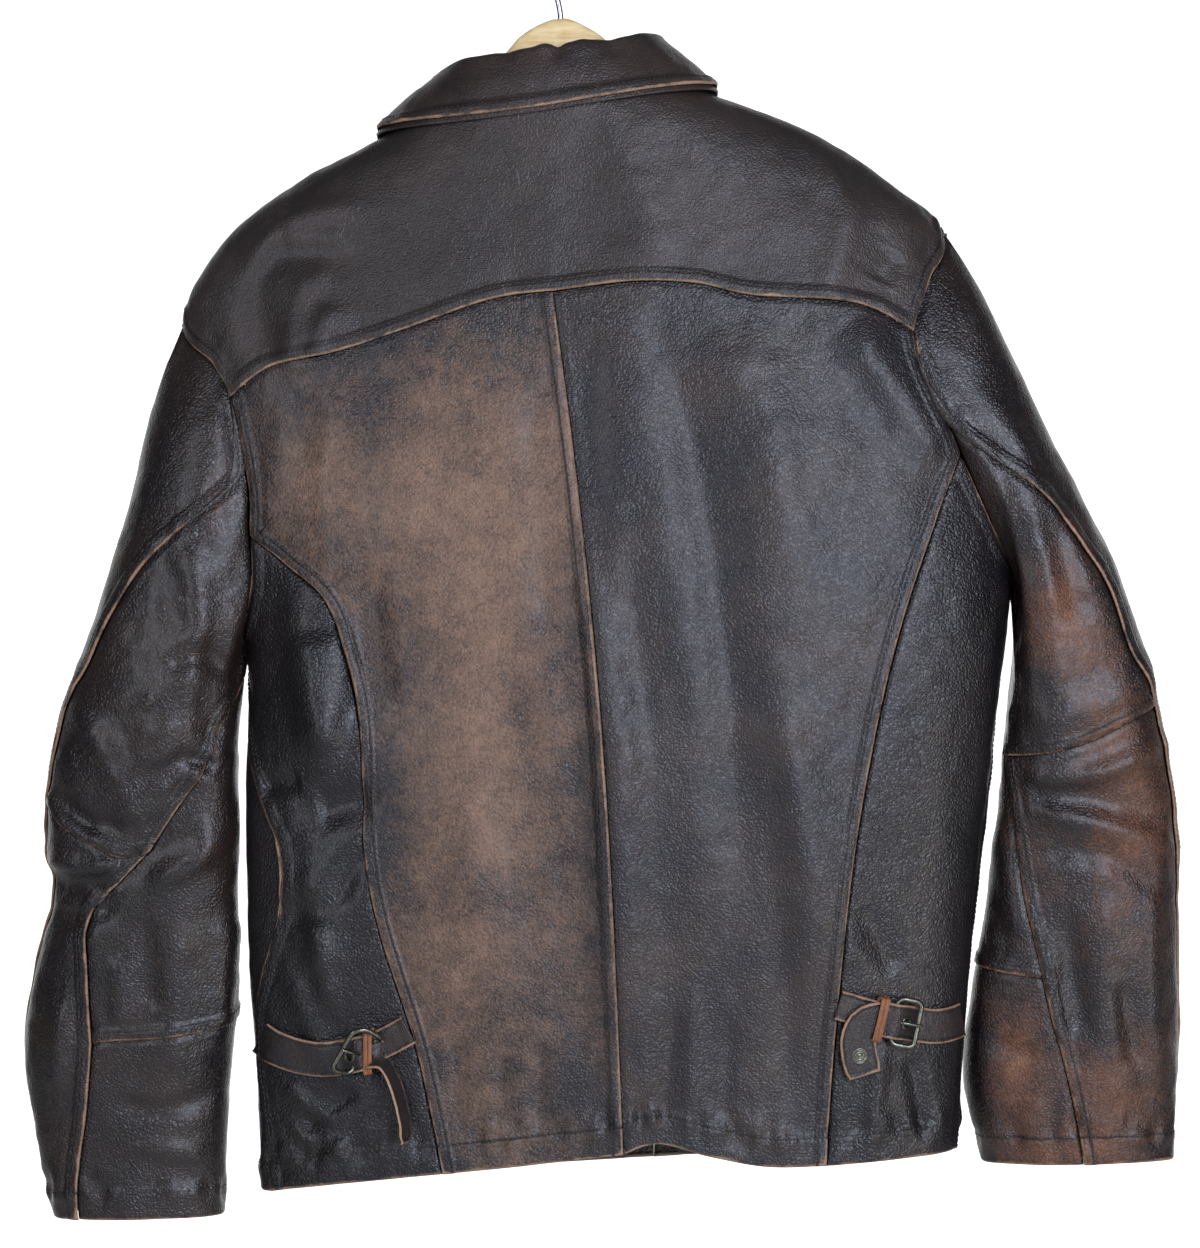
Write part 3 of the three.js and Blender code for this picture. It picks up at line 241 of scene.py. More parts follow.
# stitches of the armhole are numbered from the shoulder point, round the back and up the front
armhole = {"stitches": 26, "yokeBack": 3, "princess": 9, "underarm": 13, "side": 15, "underFront": 16,
           "yokeFront": 22, "frontScoop": 1.15, "ease": 1.6}


def armholePlace(side, stitch):
    stitch = np.mod(stitch, armhole["stitches"])
    bottom, whole = armhole["underarm"], armhole["stitches"]
    mirrored = np.where(stitch <= bottom, stitch, (whole - stitch) * bottom / (whole - bottom))
    share = np.interp(mirrored, [0, armhole["yokeBack"], armhole["princess"], bottom], [0, 2 / 7, 4 / 7, 1])
    place = bodyPlace(curveAt(seams[side]["armhole"], share))
    front = sides[side] * (90 + armhole["frontScoop"] * (90 - np.abs(place[..., 0])))
    turn = np.where(stitch <= bottom, place[..., 0], front)
    atEnd = ease(1 - np.minimum(mirrored, bottom - mirrored) / armhole["ease"])
    turn = turn + (sides[side] * 90 - turn) * atEnd
    return np.stack([turn, place[..., 1]], -1)


# An edge is a list of runs: each has its places and the number of steps that it counts for.
armSpots, seamSpots, loopSpots, straightSpots = 24, 16, 8, 9  # the first three for each step, the last for a run


def armRun(side, first, last):
    return armholePlace(side, np.linspace(first, last, abs(last - first) * armSpots + 1)), abs(last - first)


def seamRun(points, steps):
    return bodyPlace(spaced(points, np.linspace(0, 1, steps * seamSpots + 1))), steps


def straightRun(a, b, steps):
    return np.linspace(a, b, straightSpots), steps


def backwards(edge):
    return [(places[::-1], steps) for places, steps in edge[::-1]]


def edgeAt(edge, t):
    total = sum(steps for places, steps in edge)
    found = np.zeros((len(t), 2))
    start = 0
    for places, steps in edge:
        local = (t * total - start) / steps
        here = (local >= 0) if start == 0 else (local > 0)
        at = np.clip(local[here], 0, 1) * (len(places) - 1)
        k = np.minimum(at.astype(int), len(places) - 2)
        found[here] = places[k] + (at - k)[:, None] * (places[k + 1] - places[k])
        start += steps
    return found


evenRounds = 1500


# Coons patch: the four edges blended, less the blend of the corners. Rounds of averaging even out its inside
# where it would fold over itself.
def net(bottom, top, left, right, u, v, rounds=0):
    b, t = edgeAt(bottom, u)[None], edgeAt(top, u)[None]
    a, c = edgeAt(left, v)[:, None], edgeAt(right, v)[:, None]
    u, v = u[None, :, None], v[:, None, None]
    corners = (1 - v) * ((1 - u) * b[:, :1] + u * b[:, -1:]) + v * ((1 - u) * t[:, :1] + u * t[:, -1:])
    places = (1 - u) * a + u * c + (1 - v) * b + v * t - corners
    for step in range(rounds):
        across, along = places[1:-1, :-2] + places[1:-1, 2:], places[:-2, 1:-1] + places[2:, 1:-1]
        places[1:-1, 1:-1] = (across + along) / 4
    return places



def meshObject(name, points, faces, attributes=None, smooth=True):  # points in mm, faces as arrays of corners
    mesh = bpy.data.meshes.new(name)
    mesh.vertices.add(len(points))
    mesh.vertices.foreach_set("co", (points * metres).astype(np.float32).ravel())
    sizes = np.concatenate([np.full(len(group), group.shape[1]) for group in faces])
    mesh.loops.add(int(sizes.sum()))
    corners = np.concatenate([group.ravel() for group in faces])
    mesh.loops.foreach_set("vertex_index", corners.astype(np.int32))
    mesh.polygons.add(len(sizes))
    mesh.polygons.foreach_set("loop_start", np.concatenate([[0], np.cumsum(sizes)[:-1]]).astype(np.int32))
    mesh.polygons.foreach_set("use_smooth", np.full(len(sizes), smooth))
    for key, values in (attributes or {}).items():
        layer = mesh.attributes.new(key, "FLOAT", "POINT")
        layer.data.foreach_set("value", values.astype(np.float32).ravel())
    mesh.update(calc_edges=True)
    mesh.validate()
    piece = bpy.data.objects.new(name, mesh)
    bpy.context.scene.collection.objects.link(piece)
    return piece


def signedVolume(points, faces):
    total = 0
    for group in faces:
        for k in range(1, group.shape[1] - 1):
            a, b, c = points[group[:, 0]], points[group[:, k]], points[group[:, k + 1]]
            total += np.einsum("ij,ij->i", a, np.cross(b, c)).sum()
    return total


def outwards(points, faces):  # the same faces, turned round if they look inwards
    return [group[:, ::-1] for group in faces] if signedVolume(points, faces) < 0 else faces


def fitted(piece, node=None):  # rides on the one body and takes a node's place
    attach(piece, "root")
    if node:
        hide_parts(node)
    return piece


def ringFaces(rings, ring, closed=False):  # quads between rings of points, the last joined to the first if closed
    k, j = np.arange(rings if closed else rings - 1)[:, None], np.arange(ring)
    after, onward = (j + 1) % ring, (k + 1) % rings * ring
    return np.stack([k * ring + j, k * ring + after, onward + after, onward + j], -1).reshape(-1, 4)


def cappedFaces(rings, ring):  # the same with a face over each end
    j = np.arange(ring)
    return [ringFaces(rings, ring), np.array([j[::-1], (rings - 1) * ring + j])]


def gridFaces(rows, columns, start=0):
    a = (start + np.arange(rows)[:, None] * (columns + 1) + np.arange(columns)).ravel()
    return np.stack([a, a + 1, a + columns + 2, a + columns + 1], 1)


def rimOf(rows, columns, start=0):  # the corners round a grid, once
    w = columns + 1
    return start + np.concatenate([
        np.arange(columns), np.arange(rows) * w + columns,
        rows * w + np.arange(columns, 0, -1), np.arange(rows, 0, -1) * w])


# A wall: the outside grid, an inside grid with half the rows and columns, and a rim that joins them.
def wallObject(name, p, n, thick, attributes):
    rows, columns = p.shape[0] - 1, p.shape[1] - 1
    inside = (p - n * thick[..., None])[::2, ::2]
    count = p.shape[0] * p.shape[1]
    points = np.concatenate([p.reshape(-1, 3), inside.reshape(-1, 3)])
    rim, lining = rimOf(rows, columns), rimOf(rows // 2, columns // 2, count)
    a, b, c = rim[::2], rim[1::2], np.roll(rim, -2)[::2]
    d, e = lining, np.roll(lining, -1)
    quads = [gridFaces(rows, columns), gridFaces(rows // 2, columns // 2, count)[:, ::-1]]
    triangles = np.concatenate([np.stack(t, 1) for t in ((b, a, d), (b, d, e), (c, b, e))])
    faces = outwards(points, quads + [triangles])
    both = {key: np.concatenate([v.ravel(), v[::2, ::2].ravel()]) for key, v in attributes.items()}
    both["lining"] = np.concatenate([np.zeros(count), np.ones(len(points) - count)])
    return meshObject(name, points, faces, both)


def normalsOf(p, like):  # normals of a grid, on the side that the given ones point to
    n = unit(np.cross(np.gradient(p, axis=1), np.gradient(p, axis=0)))
    return n * np.sign((n * like).sum(-1).mean())


# Seams, hems, wear and painted shade, in millimetres. The rows of painted shade beside the pad and along a tucked
# edge, and the worn row, are strength, place and width of each band.
seamStyle = {
    "stitchIn": 6.8, "rise": 1.5, "roundOff": 1.7, "padEnd": 10.5, "groove": 0.55, "grooveWidth": 1.0,
    "tuck": 0.9, "tuckReach": 5, "pucker": 0.45, "puckerPitch": 8, "puckerReach": 12,
    "hemWidth": 19.5, "hemRise": 0.9, "hemThick": 1.6,
    "wornWidth": 1.6, "stitchPitch": 3.9, "stitchLength": 3.0, "threadRadius": 0.42, "threadProud": 0.12,
    "leather": 1.5, "endFade": 60, "puckers": {"hem": 7, "lap": 1.5}, "wornBand": (0.14, 3, 2.4),
    "grooveShade": 0.9, "besideShade": (0.35, 1.6, 1.8), "tuckShade": ((0.9, 0, 1.4), (0.3, 0, 4)),
}
stitchLines = []


def turned(grid, edge):  # the grid seen with the named edge as its first column
    if edge in ("bottom", "top"):
        grid = np.swapaxes(grid, 0, 1)
    return grid[:, ::-1] if edge in ("right", "top") else grid


def edgeDistance(p, edge):  # mm to the nearest spot of the edge
    line = turned(p, edge)[:, 0]
    spots = p.reshape(-1, 3)
    nearest = ((line ** 2).sum(1) - 2 * spots @ line.T).argmin(1)
    best = np.full(len(spots), np.inf)
    for k in (nearest - 1, nearest):
        k = np.clip(k, 0, len(line) - 2)
        a, step = line[k], line[k + 1] - line[k]
        f = np.clip(((spots - a) * step).sum(1) / np.maximum((step ** 2).sum(1), 1e-9), 0, 1)
        best = np.minimum(best, np.linalg.norm(spots - a - f[:, None] * step, axis=1))
    return best.reshape(p.shape[:2])


def turnedBack(grid, edge):
    grid = grid[:, ::-1] if edge in ("right", "top") else grid
    return np.swapaxes(grid, 0, 1) if edge in ("bottom", "top") else grid


def lineAt(values, d, distance):  # values of a turned grid where it is the distance from its first column
    k = np.clip((d < distance).sum(1) - 1, 0, d.shape[1] - 2)[:, None]
    d0, d1 = np.take_along_axis(d, k, 1), np.take_along_axis(d, k + 1, 1)
    f = np.clip((distance - d0) / np.maximum(d1 - d0, 1e-6), 0, 1)[..., None]
    v0 = np.take_along_axis(values, k[..., None], 1)
    v1 = np.take_along_axis(values, (k + 1)[..., None], 1)
    return (v0 * (1 - f) + v1 * f)[:, 0]


# Dresses a grid of leather: edges maps an edge to "lap" (on top and topstitched), "tuck" (under its
# neighbour), "hem" (turned in and stitched) or "free"; or to a kind and the shares where it laps.
def dress(p, n, edges, relief, seed, rubs=()):
    s = seamStyle
    p = p + n * relief[..., None]
    n = normalsOf(p, n)
    height, wear, seamShade = (np.zeros(p.shape[:2]) for _ in range(3))
    thick = np.full(p.shape[:2], s["leather"])
    crinkle = noise(p * np.array([1, 1, 0.4]), s["puckerPitch"], seed)
    ragged = 0.9 + 0.35 * noise(p, 17, seed + 1) + 0.35 * noise(p, 5, seed + 2)
    lines = []
    for edge, kind in edges.items():
        d = edgeDistance(p, edge)
        share = turnedBack(np.broadcast_to(np.linspace(0, 1, turned(d, edge).shape[0])[:, None],
                                           turned(d, edge).shape), edge)
        on = np.ones(p.shape[:2])
        if isinstance(kind, tuple):
            kind, first, last = kind
            on = ease((share - first) * s["endFade"] + 0.5) * ease((last - share) * s["endFade"] + 0.5)
        if kind in ("lap", "hem"):
            width = s["stitchIn"] if kind == "lap" else s["hemWidth"]
            rise = s["rise"] if kind == "lap" else s["hemRise"]
            end = width + s["padEnd"] - s["stitchIn"]
            rounded = np.sqrt(1 - (1 - np.clip(d / s["roundOff"], 0, 1)) ** 2)
            pad = rise * rounded * (1 - ease((d - width) / (end - width)))
            groove = bell(d, width, s["grooveWidth"])
            beside = bell(d - width, 2, s["puckerReach"]) * ease(d / 3)
            pucker = s["pucker"] * s["puckers"][kind] * crinkle * beside
            height += on * (pad - s["groove"] * groove + pucker)
            strength, place, reach = s["wornBand"]
            wear += on * ragged * (bell(d, 0, s["wornWidth"]) + strength * bell(d, place, reach))
            strength, place, reach = s["besideShade"]
            # painted shade in the stitch groove and just beyond the raised pad
            seamShade += on * (s["grooveShade"] * groove + strength * bell(d - width, place, reach))
            if kind == "hem":
                thick += s["hemThick"] * (1 - ease((d - width) / 3))
            lines.append((edge, width, turned(on, edge)[:, 0]))
        elif kind == "tuck":
            height -= s["tuck"] * (1 - ease(d / s["tuckReach"]))
            # painted shade along the edge that tucks under its neighbour
            seamShade += sum(strength * bell(d, place, reach) for strength, place, reach in s["tuckShade"])
    rub = np.zeros(p.shape[:2])
    for x, z, rx, rz, strength in rubs:
        rub += strength * np.exp(-((p[..., 0] - x) / rx) ** 2 - ((p[..., 2] - z) / rz) ** 2)
    p = p + n * height[..., None]
    for edge, width, on in lines:
        d = turned(edgeDistance(p, edge), edge)
        spots, up = lineAt(turned(p, edge), d, width), unit(lineAt(turned(n, edge), d, width))
        if (on > 0.5).any():
            stitchLines.append((spots[on > 0.5], up[on > 0.5]))
    n = normalsOf(p, n)
    return p, n, thick, {"edge": wear, "seamShade": seamShade, "rub": rub}


def crowded(count, crowd=0.62):  # shares from 0 to 1 that lie closer together near both ends
    t = np.linspace(0, 1, count + 1)
    return t - crowd * np.sin(2 * np.pi * t) / (2 * np.pi)


leatherPieces = []
outerSkins = {}


def sheetPiece(name, slot, piece):
    fitted(piece, name)
    leatherPieces.append((piece, slot))


def leatherPiece(name, slot, p, n, edges, relief, seed, rubs=()):
    p, n, thick, attributes = dress(p, n, edges, relief, seed, rubs)
    outerSkins[name] = p[p[..., 1] > 0]
    sheetPiece(name, slot, wallObject(name + "_leather", p, n, thick, attributes))


# Small relief that all the leather has: a slow roll, soft dents and a little crumpling.
creases = {
    "back": [
        [[[60, -500], [52, -640], [20, -800]], 30, 2.5],
        [[[10, -330], [4, -420], [-6, -520]], 14, -1.5],
        [[[-80, -300], [-110, -420], [-128, -560], [-140, -700]], 17, -3],
        [[[-150, -560], [-160, -700], [-168, -840]], 12, -2],
        [[[60, -780], [64, -850]], 8, -1.5],
        [[[30, -790], [33, -850]], 6, -1.2],
        [[[5, -785], [6, -846]], 6, -1.4],
        [[[-86, -760], [-80, -845]], 7, -1.6],
        [[[-100, -740], [-98, -845]], 7, 1.5],
        [[[-125, -770], [-120, -850]], 7, -1.3],
    ],
    "yoke": [
        [[[212, -261], [182, -221], [125, -210]], 9, 2.5],
        [[[184, -232], [140, -232]], 8, 2.2],
        [[[190, -330], [202, -262], [172, -240], [130, -246]], 13, -2.6],
        [[[180, -315], [168, -268], [150, -262]], 9, 1.8],
        [[[165, -330], [150, -276]], 7, 2.4],
        [[[-62, -262], [-70, -220], [-60, -180]], 20, 2],
        [[[-190, -275], [-208, -220], [-190, -178]], 12, 2.5],
        [[[-228, -262], [-240, -240]], 10, -2],
    ],
    "side": [
        [[[178, -470], [165, -540], [150, -600]], 12, 2.5],
        [[[128, -520], [140, -590]], 9, -2],
        [[[170, -605], [200, -612]], 8, -3],
        [[[120, -640], [150, -690], [188, -700]], 9, -2.5],
        [[[160, -700], [150, -760]], 8, 2.5],
        [[[185, -720], [150, -800], [120, -815]], 8, 2],
        [[[130, -820], [175, -850]], 7, -2],
        [[[184, -815], [150, -838], [118, -812]], 6, 1.8],
        [[[178, -842], [160, -862]], 6, 1.5],
        [[[140, -850], [146, -868]], 5, 1.2],
        [[[-215, -690], [-240, -740]], 10, -2],
        [[[-230, -790], [-222, -850]], 7, 1.8],
        [[[-250, -795], [-262, -850]], 7, -2],
    ],
}


def relief(p, banks, seed, amount=1.0):
    stretched = p * np.array([1, 1, 0.45])
    roll = 1.5 * noise(stretched, 62, seed) + 0.95 * noise(stretched, 27, seed + 1)
    dents = 0.36 * noise(p, 11, seed + 2) + 0.14 * noise(p, 5, seed + 3)
    return amount * (roll + dents) + bankLift(banks, p[..., 0], p[..., 2])


def bodyPiece(name, slot, bottom, top, left, right, cells, edges, banks,
              rubs=(), sink=None, rounds=0):
    u, v = crowded(cells[0]), crowded(cells[1])
    places = net(bottom, top, left, right, u, v, rounds)
    p, n = bodyAt(places)
    if sink is not None:
        p = p - n * sink(places)[..., None]
    behind = ease(np.cos(np.radians(places[..., 0])) * 4 + 1)
    lift = relief(p, [], 11, 1.15) + 1.5 * bankLift(banks, p[..., 0], p[..., 2]) * behind
    return leatherPiece(name, slot, p, n, edges, lift, 5, rubs)


body["pieces"] = {
    "left": {"rubs": [[50, -390, 95, 100, 0.85], [50, -560, 85, 130, 0.75], [40, -740, 75, 110, 0.65],
                      [160, -400, 45, 70, 0.45], [-20, -380, 22, 60, 0.4], [30, -850, 60, 30, 0.3]]},
    "right": {"rubs": [[-150, -560, 130, 330, -0.55], [-140, -420, 40, 60, 0.45], [-105, -570, 40, 60, 0.4],
                       [-60, -760, 30, 90, 0.3]]},
}

centreEdge = [seamRun(seams["centreBack"], 15)]
yokeEnds = {}
for side, sign in sides.items():
    cut = seams[side]
    rows = seams["sideRows"]
    princess = seamRun(cut["princess"], rows)
    armUpper = armRun(side, armhole["princess"], armhole["yokeBack"])
    armLower = armRun(side, armhole["princess"], armhole["side"])
    sideAll = bodyPlace(spaced(cut["side"], np.linspace(0, 1, rows * seamSpots + 1)))
    if side == "right":
        sideAll[:, 0] = -90
    turnOff = (rows - 3) * seamSpots  # where the side seam leaves its curve for the underarm point
    sideEdge = [(sideAll[:turnOff + 1], rows - 3), straightRun(sideAll[turnOff], armLower[0][-1], 3)]
    hem = [seamRun(cut["hem"], seams["backColumns"])]
    yokeRun = seamRun(cut["yoke"], seams["backColumns"])
    lapCentre = "lap" if side == "left" else "tuck"
    bodyPiece("back_" + side, "back_leather", hem, [yokeRun], centreEdge, [princess, armUpper], (110, 230),
              {"bottom": "hem", "left": lapCentre, "right": "lap", "top": "tuck"}, creases["back"],
              body["pieces"][side]["rubs"])
    hemSide = [straightRun(princess[0][0], sideAll[0], 6)]
    bodyPiece("side_" + side, "dark_leather", hemSide, [armLower], [princess], sideEdge, (56, 180),
              {"bottom": "hem", "left": "tuck", "right": "lap", "top": "lap"}, creases["side"],
              rounds=evenRounds)
    armFront = armRun(side, armhole["side"], armhole["yokeFront"])
    centreTurn = sign * 180 + 4
    neckCorner = np.array([sign * seams["neckFront"], body["neckLevel"]])
    yokeFront = straightRun(armFront[0][-1], neckCorner, seams["frontRows"])
    outer = sideEdge + [armFront, yokeFront]
    centre = [straightRun([centreTurn, body["frontHemLevel"]], [centreTurn, body["neckLevel"]], 21)]
    hemFront = [straightRun(sideAll[0], centre[0][0][0], 8)]
    neckEdge = [straightRun(neckCorner, [centreTurn, body["neckLevel"]], 8)]

    def overlap(places, under=side == "right"):
        fromCentre = np.abs(np.abs(places[..., 0]) - 180) * 3
        return (2.5 if under else 0) * (1 - ease((fromCentre - 26) / 60))

    bodyPiece("front_" + side, "dark_leather", hemFront, neckEdge, outer, centre, (110, 210),
              {"bottom": "hem", "right": "hem", "left": ("lap", 9 / 21, 16 / 21)}, [],
              [], overlap)
    yokeEnds[side] = {"back": yokeRun, "front": yokeFront}

leftArm = armRun("left", armhole["yokeFront"], armhole["stitches"] + armhole["yokeBack"])
rightArm = armRun("right", armhole["stitches"] + armhole["yokeBack"], armhole["yokeFront"])
lower = [leftArm] + backwards([yokeEnds["left"]["back"]]) + [yokeEnds["right"]["back"], rightArm]
neck = body["neckLevel"]
neckTurns = (seams["neckFront"], 90, seams["neckBack"], 0)
neckHalf = [straightRun([a, neck], [b, neck], steps) for a, b, steps in zip(neckTurns, neckTurns[1:], (4, 3, 8))]
neckOther = [(places * np.array([-1, 1]), steps) for places, steps in backwards(neckHalf)]
bodyPiece("yoke", "yoke_leather", lower, neckHalf + neckOther, [yokeEnds["left"]["front"]],
          [yokeEnds["right"]["front"]], (360, 90), {"bottom": "lap", "left": "lap", "right": "lap"},
          creases["yoke"], [[-20, -220, 90, 50, 0.25], [-80, -190, 80, 30, 0.2]])
print("stage: body leather made")

sleeve = {
    # along, outer x, outer z, inner x, inner z, half depth, centre y
    "left": {
        "forearmCut": ((0.1, 0.31), 0.019),
        "rings": [
            [0, 253, -283, 214, -521, 30, 0], [0.12, 273, -340, 216, -545, 39, 0],
            [0.25, 296, -420, 217, -575, 44, -2], [0.38, 326, -514, 217, -612, 45, -5],
            [0.5, 349, -592, 217, -652, 43, -9], [0.59, 353, -650, 218, -690, 40, -13],
            [0.65, 348, -682, 219, -722, 38, -16], [0.75, 361, -738, 221, -765, 37, -20],
            [0.85, 369, -800, 225, -815, 36, -24], [0.93, 361, -862, 228, -863, 34, -28],
            [1, 347, -916, 230, -914, 32, -30],
        ],
        "top": [[233, -393], [254, -425], [279, -455], [300, -487], [318, -520], [337, -560], [352, -622]],
        "elbow": [[352, -622], [338, -640], [316, -652], [297, -661], [277, -657]],
        "under": [[227, -579], [238, -602], [257, -628], [277, -657]],
        "wrist": [[277, -657], [298, -678], [320, -702], [321, -745], [319, -791]],
        "cuff": [[319, -791], [321, -817], [324, -845], [329, -880], [330, -913]],
        "folds": [
            [[[228, -500], [236, -545], [228, -590]], 12, -6],
            [[[243, -600], [262, -640], [300, -690]], 16, -6],
            [[[240, -500], [268, -560], [270, -620]], 20, 5],
            [[[350, -680], [300, -680]], 12, -4],
            [[[255, -700], [262, -820]], 18, 4],
        ],
        "creases": [
            [[[215, -535], [240, -520], [262, -530]], 8, -3],
            [[[250, -440], [240, -500], [243, -560]], 12, 3],
            [[[228, -600], [250, -592], [285, -610]], 7, -3],
            [[[225, -640], [250, -665], [280, -676]], 9, 3],
            [[[352, -660], [325, -668], [296, -664]], 7, 3],
            [[[350, -700], [320, -702], [300, -690]], 7, -2.5],
            [[[345, -610], [322, -634], [290, -640]], 7, -2.5],
            [[[335, -545], [300, -600], [285, -640]], 11, 2.5],
            [[[222, -700], [232, -790]], 8, 3],
            [[[280, -700], [276, -770]], 8, -2.5],
            [[[300, -730], [298, -780]], 6, 1.5],
            [[[232, -825], [270, -838], [300, -832]], 7, -2],
            [[[240, -870], [290, -862]], 7, 1.8],
            [[[340, -760], [345, -830]], 9, 2.5],
        ],
        "rubs": [[300, -450, 40, 60, 0.35], [270, -740, 50, 60, 0.4], [330, -690, 40, 40, 0.3],
                 [230, -410, 20, 40, 0.5], [280, -600, 30, 60, 0.3], [340, -860, 30, 60, 0.3]],
    },
    "right": {
        "forearmCut": ((0.135, 0.33), 0.036),
        "rings": [
            [0, -274, -220, -321, -467, 30, 0], [0.12, -305, -272, -332, -488, 39, 0],
            [0.25, -352, -372, -326, -530, 44, -2], [0.38, -401, -468, -321, -570, 45, -5],
            [0.5, -428, -552, -317, -612, 43, -9], [0.6, -441, -630, -311, -662, 41, -13],
            [0.7, -441, -700, -304, -712, 39, -17], [0.8, -442, -765, -297, -762, 38, -21],
            [0.9, -442, -820, -294, -815, 36, -26], [1, -440, -875, -307, -877, 33, -30],
        ],
        "top": [[-273, -319], [-315, -371], [-356, -425], [-387, -472], [-403, -515], [-424, -555]],
        "elbow": [[-424, -555], [-398, -569], [-372, -581], [-345, -588], [-320, -590]],
        "under": [[-326, -530], [-323, -560], [-320, -590]],
        "wrist": [[-320, -590], [-322, -623], [-330, -681], [-337, -713], [-344, -745]],
        "cuff": [[-344, -745], [-351, -776], [-358, -799], [-368, -840], [-374, -873]],
        "folds": [
            [[[-330, -610], [-380, -618], [-436, -640]], 13, -4],
            [[[-330, -575], [-400, -545], [-430, -520]], 14, 4],
            [[[-390, -680], [-395, -840]], 20, 4],
            [[[-345, -420], [-372, -500]], 18, -4],
        ],
        "creases": [
            [[[-330, -604], [-372, -604], [-430, -582]], 8, 3],
            [[[-336, -628], [-380, -636], [-430, -650]], 8, 2.5],
            [[[-345, -655], [-390, -660], [-436, -690]], 8, -2],
            [[[-360, -700], [-372, -790]], 9, -2.5],
            [[[-425, -640], [-420, -740], [-428, -830]], 10, 2],
            [[[-320, -390], [-340, -440], [-350, -500]], 10, 2.5],
            [[[-300, -330], [-350, -420], [-380, -490]], 9, 2],
            [[[-400, -745], [-410, -810]], 8, -2],
            [[[-315, -640], [-328, -720]], 8, 1.6],
            [[[-310, -790], [-340, -800]], 7, -1.8],
            [[[-330, -850], [-345, -830]], 7, 1.5],
        ],
        "rubs": [[-385, -540, 36, 50, 0.75], [-350, -490, 34, 50, 0.7], [-400, -620, 50, 60, 0.9],
                 [-400, -720, 50, 80, 0.7], [-400, -830, 60, 50, 0.85], [-325, -800, 24, 60, 0.95],
                 [-330, -660, 20, 60, 0.5], [-360, -455, 20, 50, 0.35], [-355, -870, 50, 18, 0.8]],
    },
    "roundness": 0.86, "blendEnd": 0.3, "elbowRow": 7, "wristRow": 11, "rows": 15,
    "outerTurn": 100, "frontTurn": -142, "start": 0.5,
}


def sleeveRing(side, along):
    ox, oz, ix, iz, depth, y = np.moveaxis(follow(sleeve[side]["rings"], along), -1, 0)
    return (ox + ix) / 2, (oz + iz) / 2, (ox - ix) / 2, (oz - iz) / 2, depth, y


# A squared ellipse across the slanting line from the outer to the inner edge.
def plainSleeve(side, turn, along):
    mx, mz, hx, hz, depth, y = sleeveRing(side, along)
    across = swell(np.sin(np.radians(turn)), sleeve["roundness"])
    return np.stack([mx + hx * across, y + depth * swell(np.cos(np.radians(turn)), sleeve["roundness"]),
                     mz + hz * across], -1)


# The armhole's points with the sleeve's turn at each, and how far each lies off the sleeve's first ring.
def sleeveLoop(side):
    stitch = np.linspace(0, armhole["stitches"], armhole["stitches"] * loopSpots + 1)
    point = bodyAt(armholePlace(side, stitch))[0]
    mx, mz, hx, hz = sleeveRing(side, np.array(0.0))[:4]
    share = ((point[:, 0] - mx) * hx + (point[:, 2] - mz) * hz) / (hx * hx + hz * hz)
    angle = np.degrees(np.arcsin(swell(np.clip(share, -1, 1), 1 / sleeve["roundness"])))
    turn = np.where(stitch <= armhole["underarm"], angle, -180 - angle)
    turn[[0, armhole["underarm"] * loopSpots, -1]] = 90, -90, -270
    turn = np.minimum.accumulate(turn)
    off = point - plainSleeve(side, turn, np.zeros(len(turn)))
    return stitch, turn, off + np.array([sides[side] * sleeve["start"], 0, 0])


loops = {side: sleeveLoop(side) for side in sides}


def sleeveBase(side, turn, along):
    stitch, loopTurn, off = loops[side]
    roundOnce = np.mod(90 - turn, 360)
    shift = np.stack([np.interp(roundOnce, 90 - loopTurn, off[:, k]) for k in range(3)], -1)
    return plainSleeve(side, turn, along) + shift * (1 - ease(along / sleeve["blendEnd"]))[..., None]


def sleeveAt(side, places):
    turn, along = places[..., 0], places[..., 1]
    across = sleeveBase(side, turn + 1, along) - sleeveBase(side, turn - 1, along)
    down = sleeveBase(side, turn, along + 0.01) - sleeveBase(side, turn, np.maximum(along - 0.01, 0))
    n = unit(np.cross(across, down)) * sides[side]
    p = sleeveBase(side, turn, along)
    behind = ease(np.cos(np.radians(turn)) * 3) * ease(along * 6)
    return p + n * (bankLift(sleeve[side]["folds"], p[..., 0], p[..., 2]) * behind)[..., None], n


def sleevePlace(side, spots):  # the place on the back of the sleeve that shows at x, z, found by halving
    x, z = spots[..., 0], spots[..., 1]
    low, high = np.zeros(x.shape), np.ones(x.shape)
    for step in range(halvings):
        along = (low + high) / 2
        mx, mz, hx, hz = sleeveRing(side, along)[:4]
        before = (hx * (z - mz) - hz * (x - mx)) * sides[side] >= 0
        low, high = np.where(before, low, along), np.where(before, along, high)
    mx, mz, hx, hz = sleeveRing(side, low)[:4]
    share = np.clip(((x - mx) * hx + (z - mz) * hz) / (hx * hx + hz * hz), -1, 1)
    return np.stack([np.degrees(np.arcsin(swell(share, 1 / sleeve["roundness"]))), low], -1)


def sleeveRun(side, points, steps):
    return sleevePlace(side, spaced(points, np.linspace(0, 1, steps * seamSpots + 1))), steps


def loopRun(side, first, last):  # sleeve places along the armhole between two stitches
    stitch, turn, off = loops[side]
    at = np.linspace(first, last, abs(last - first) * loopSpots + 1)
    places = np.interp(np.mod(at, armhole["stitches"]), stitch, turn) - 360 * (at >= armhole["stitches"])
    return np.stack([places, np.zeros(len(at))], -1), abs(last - first)


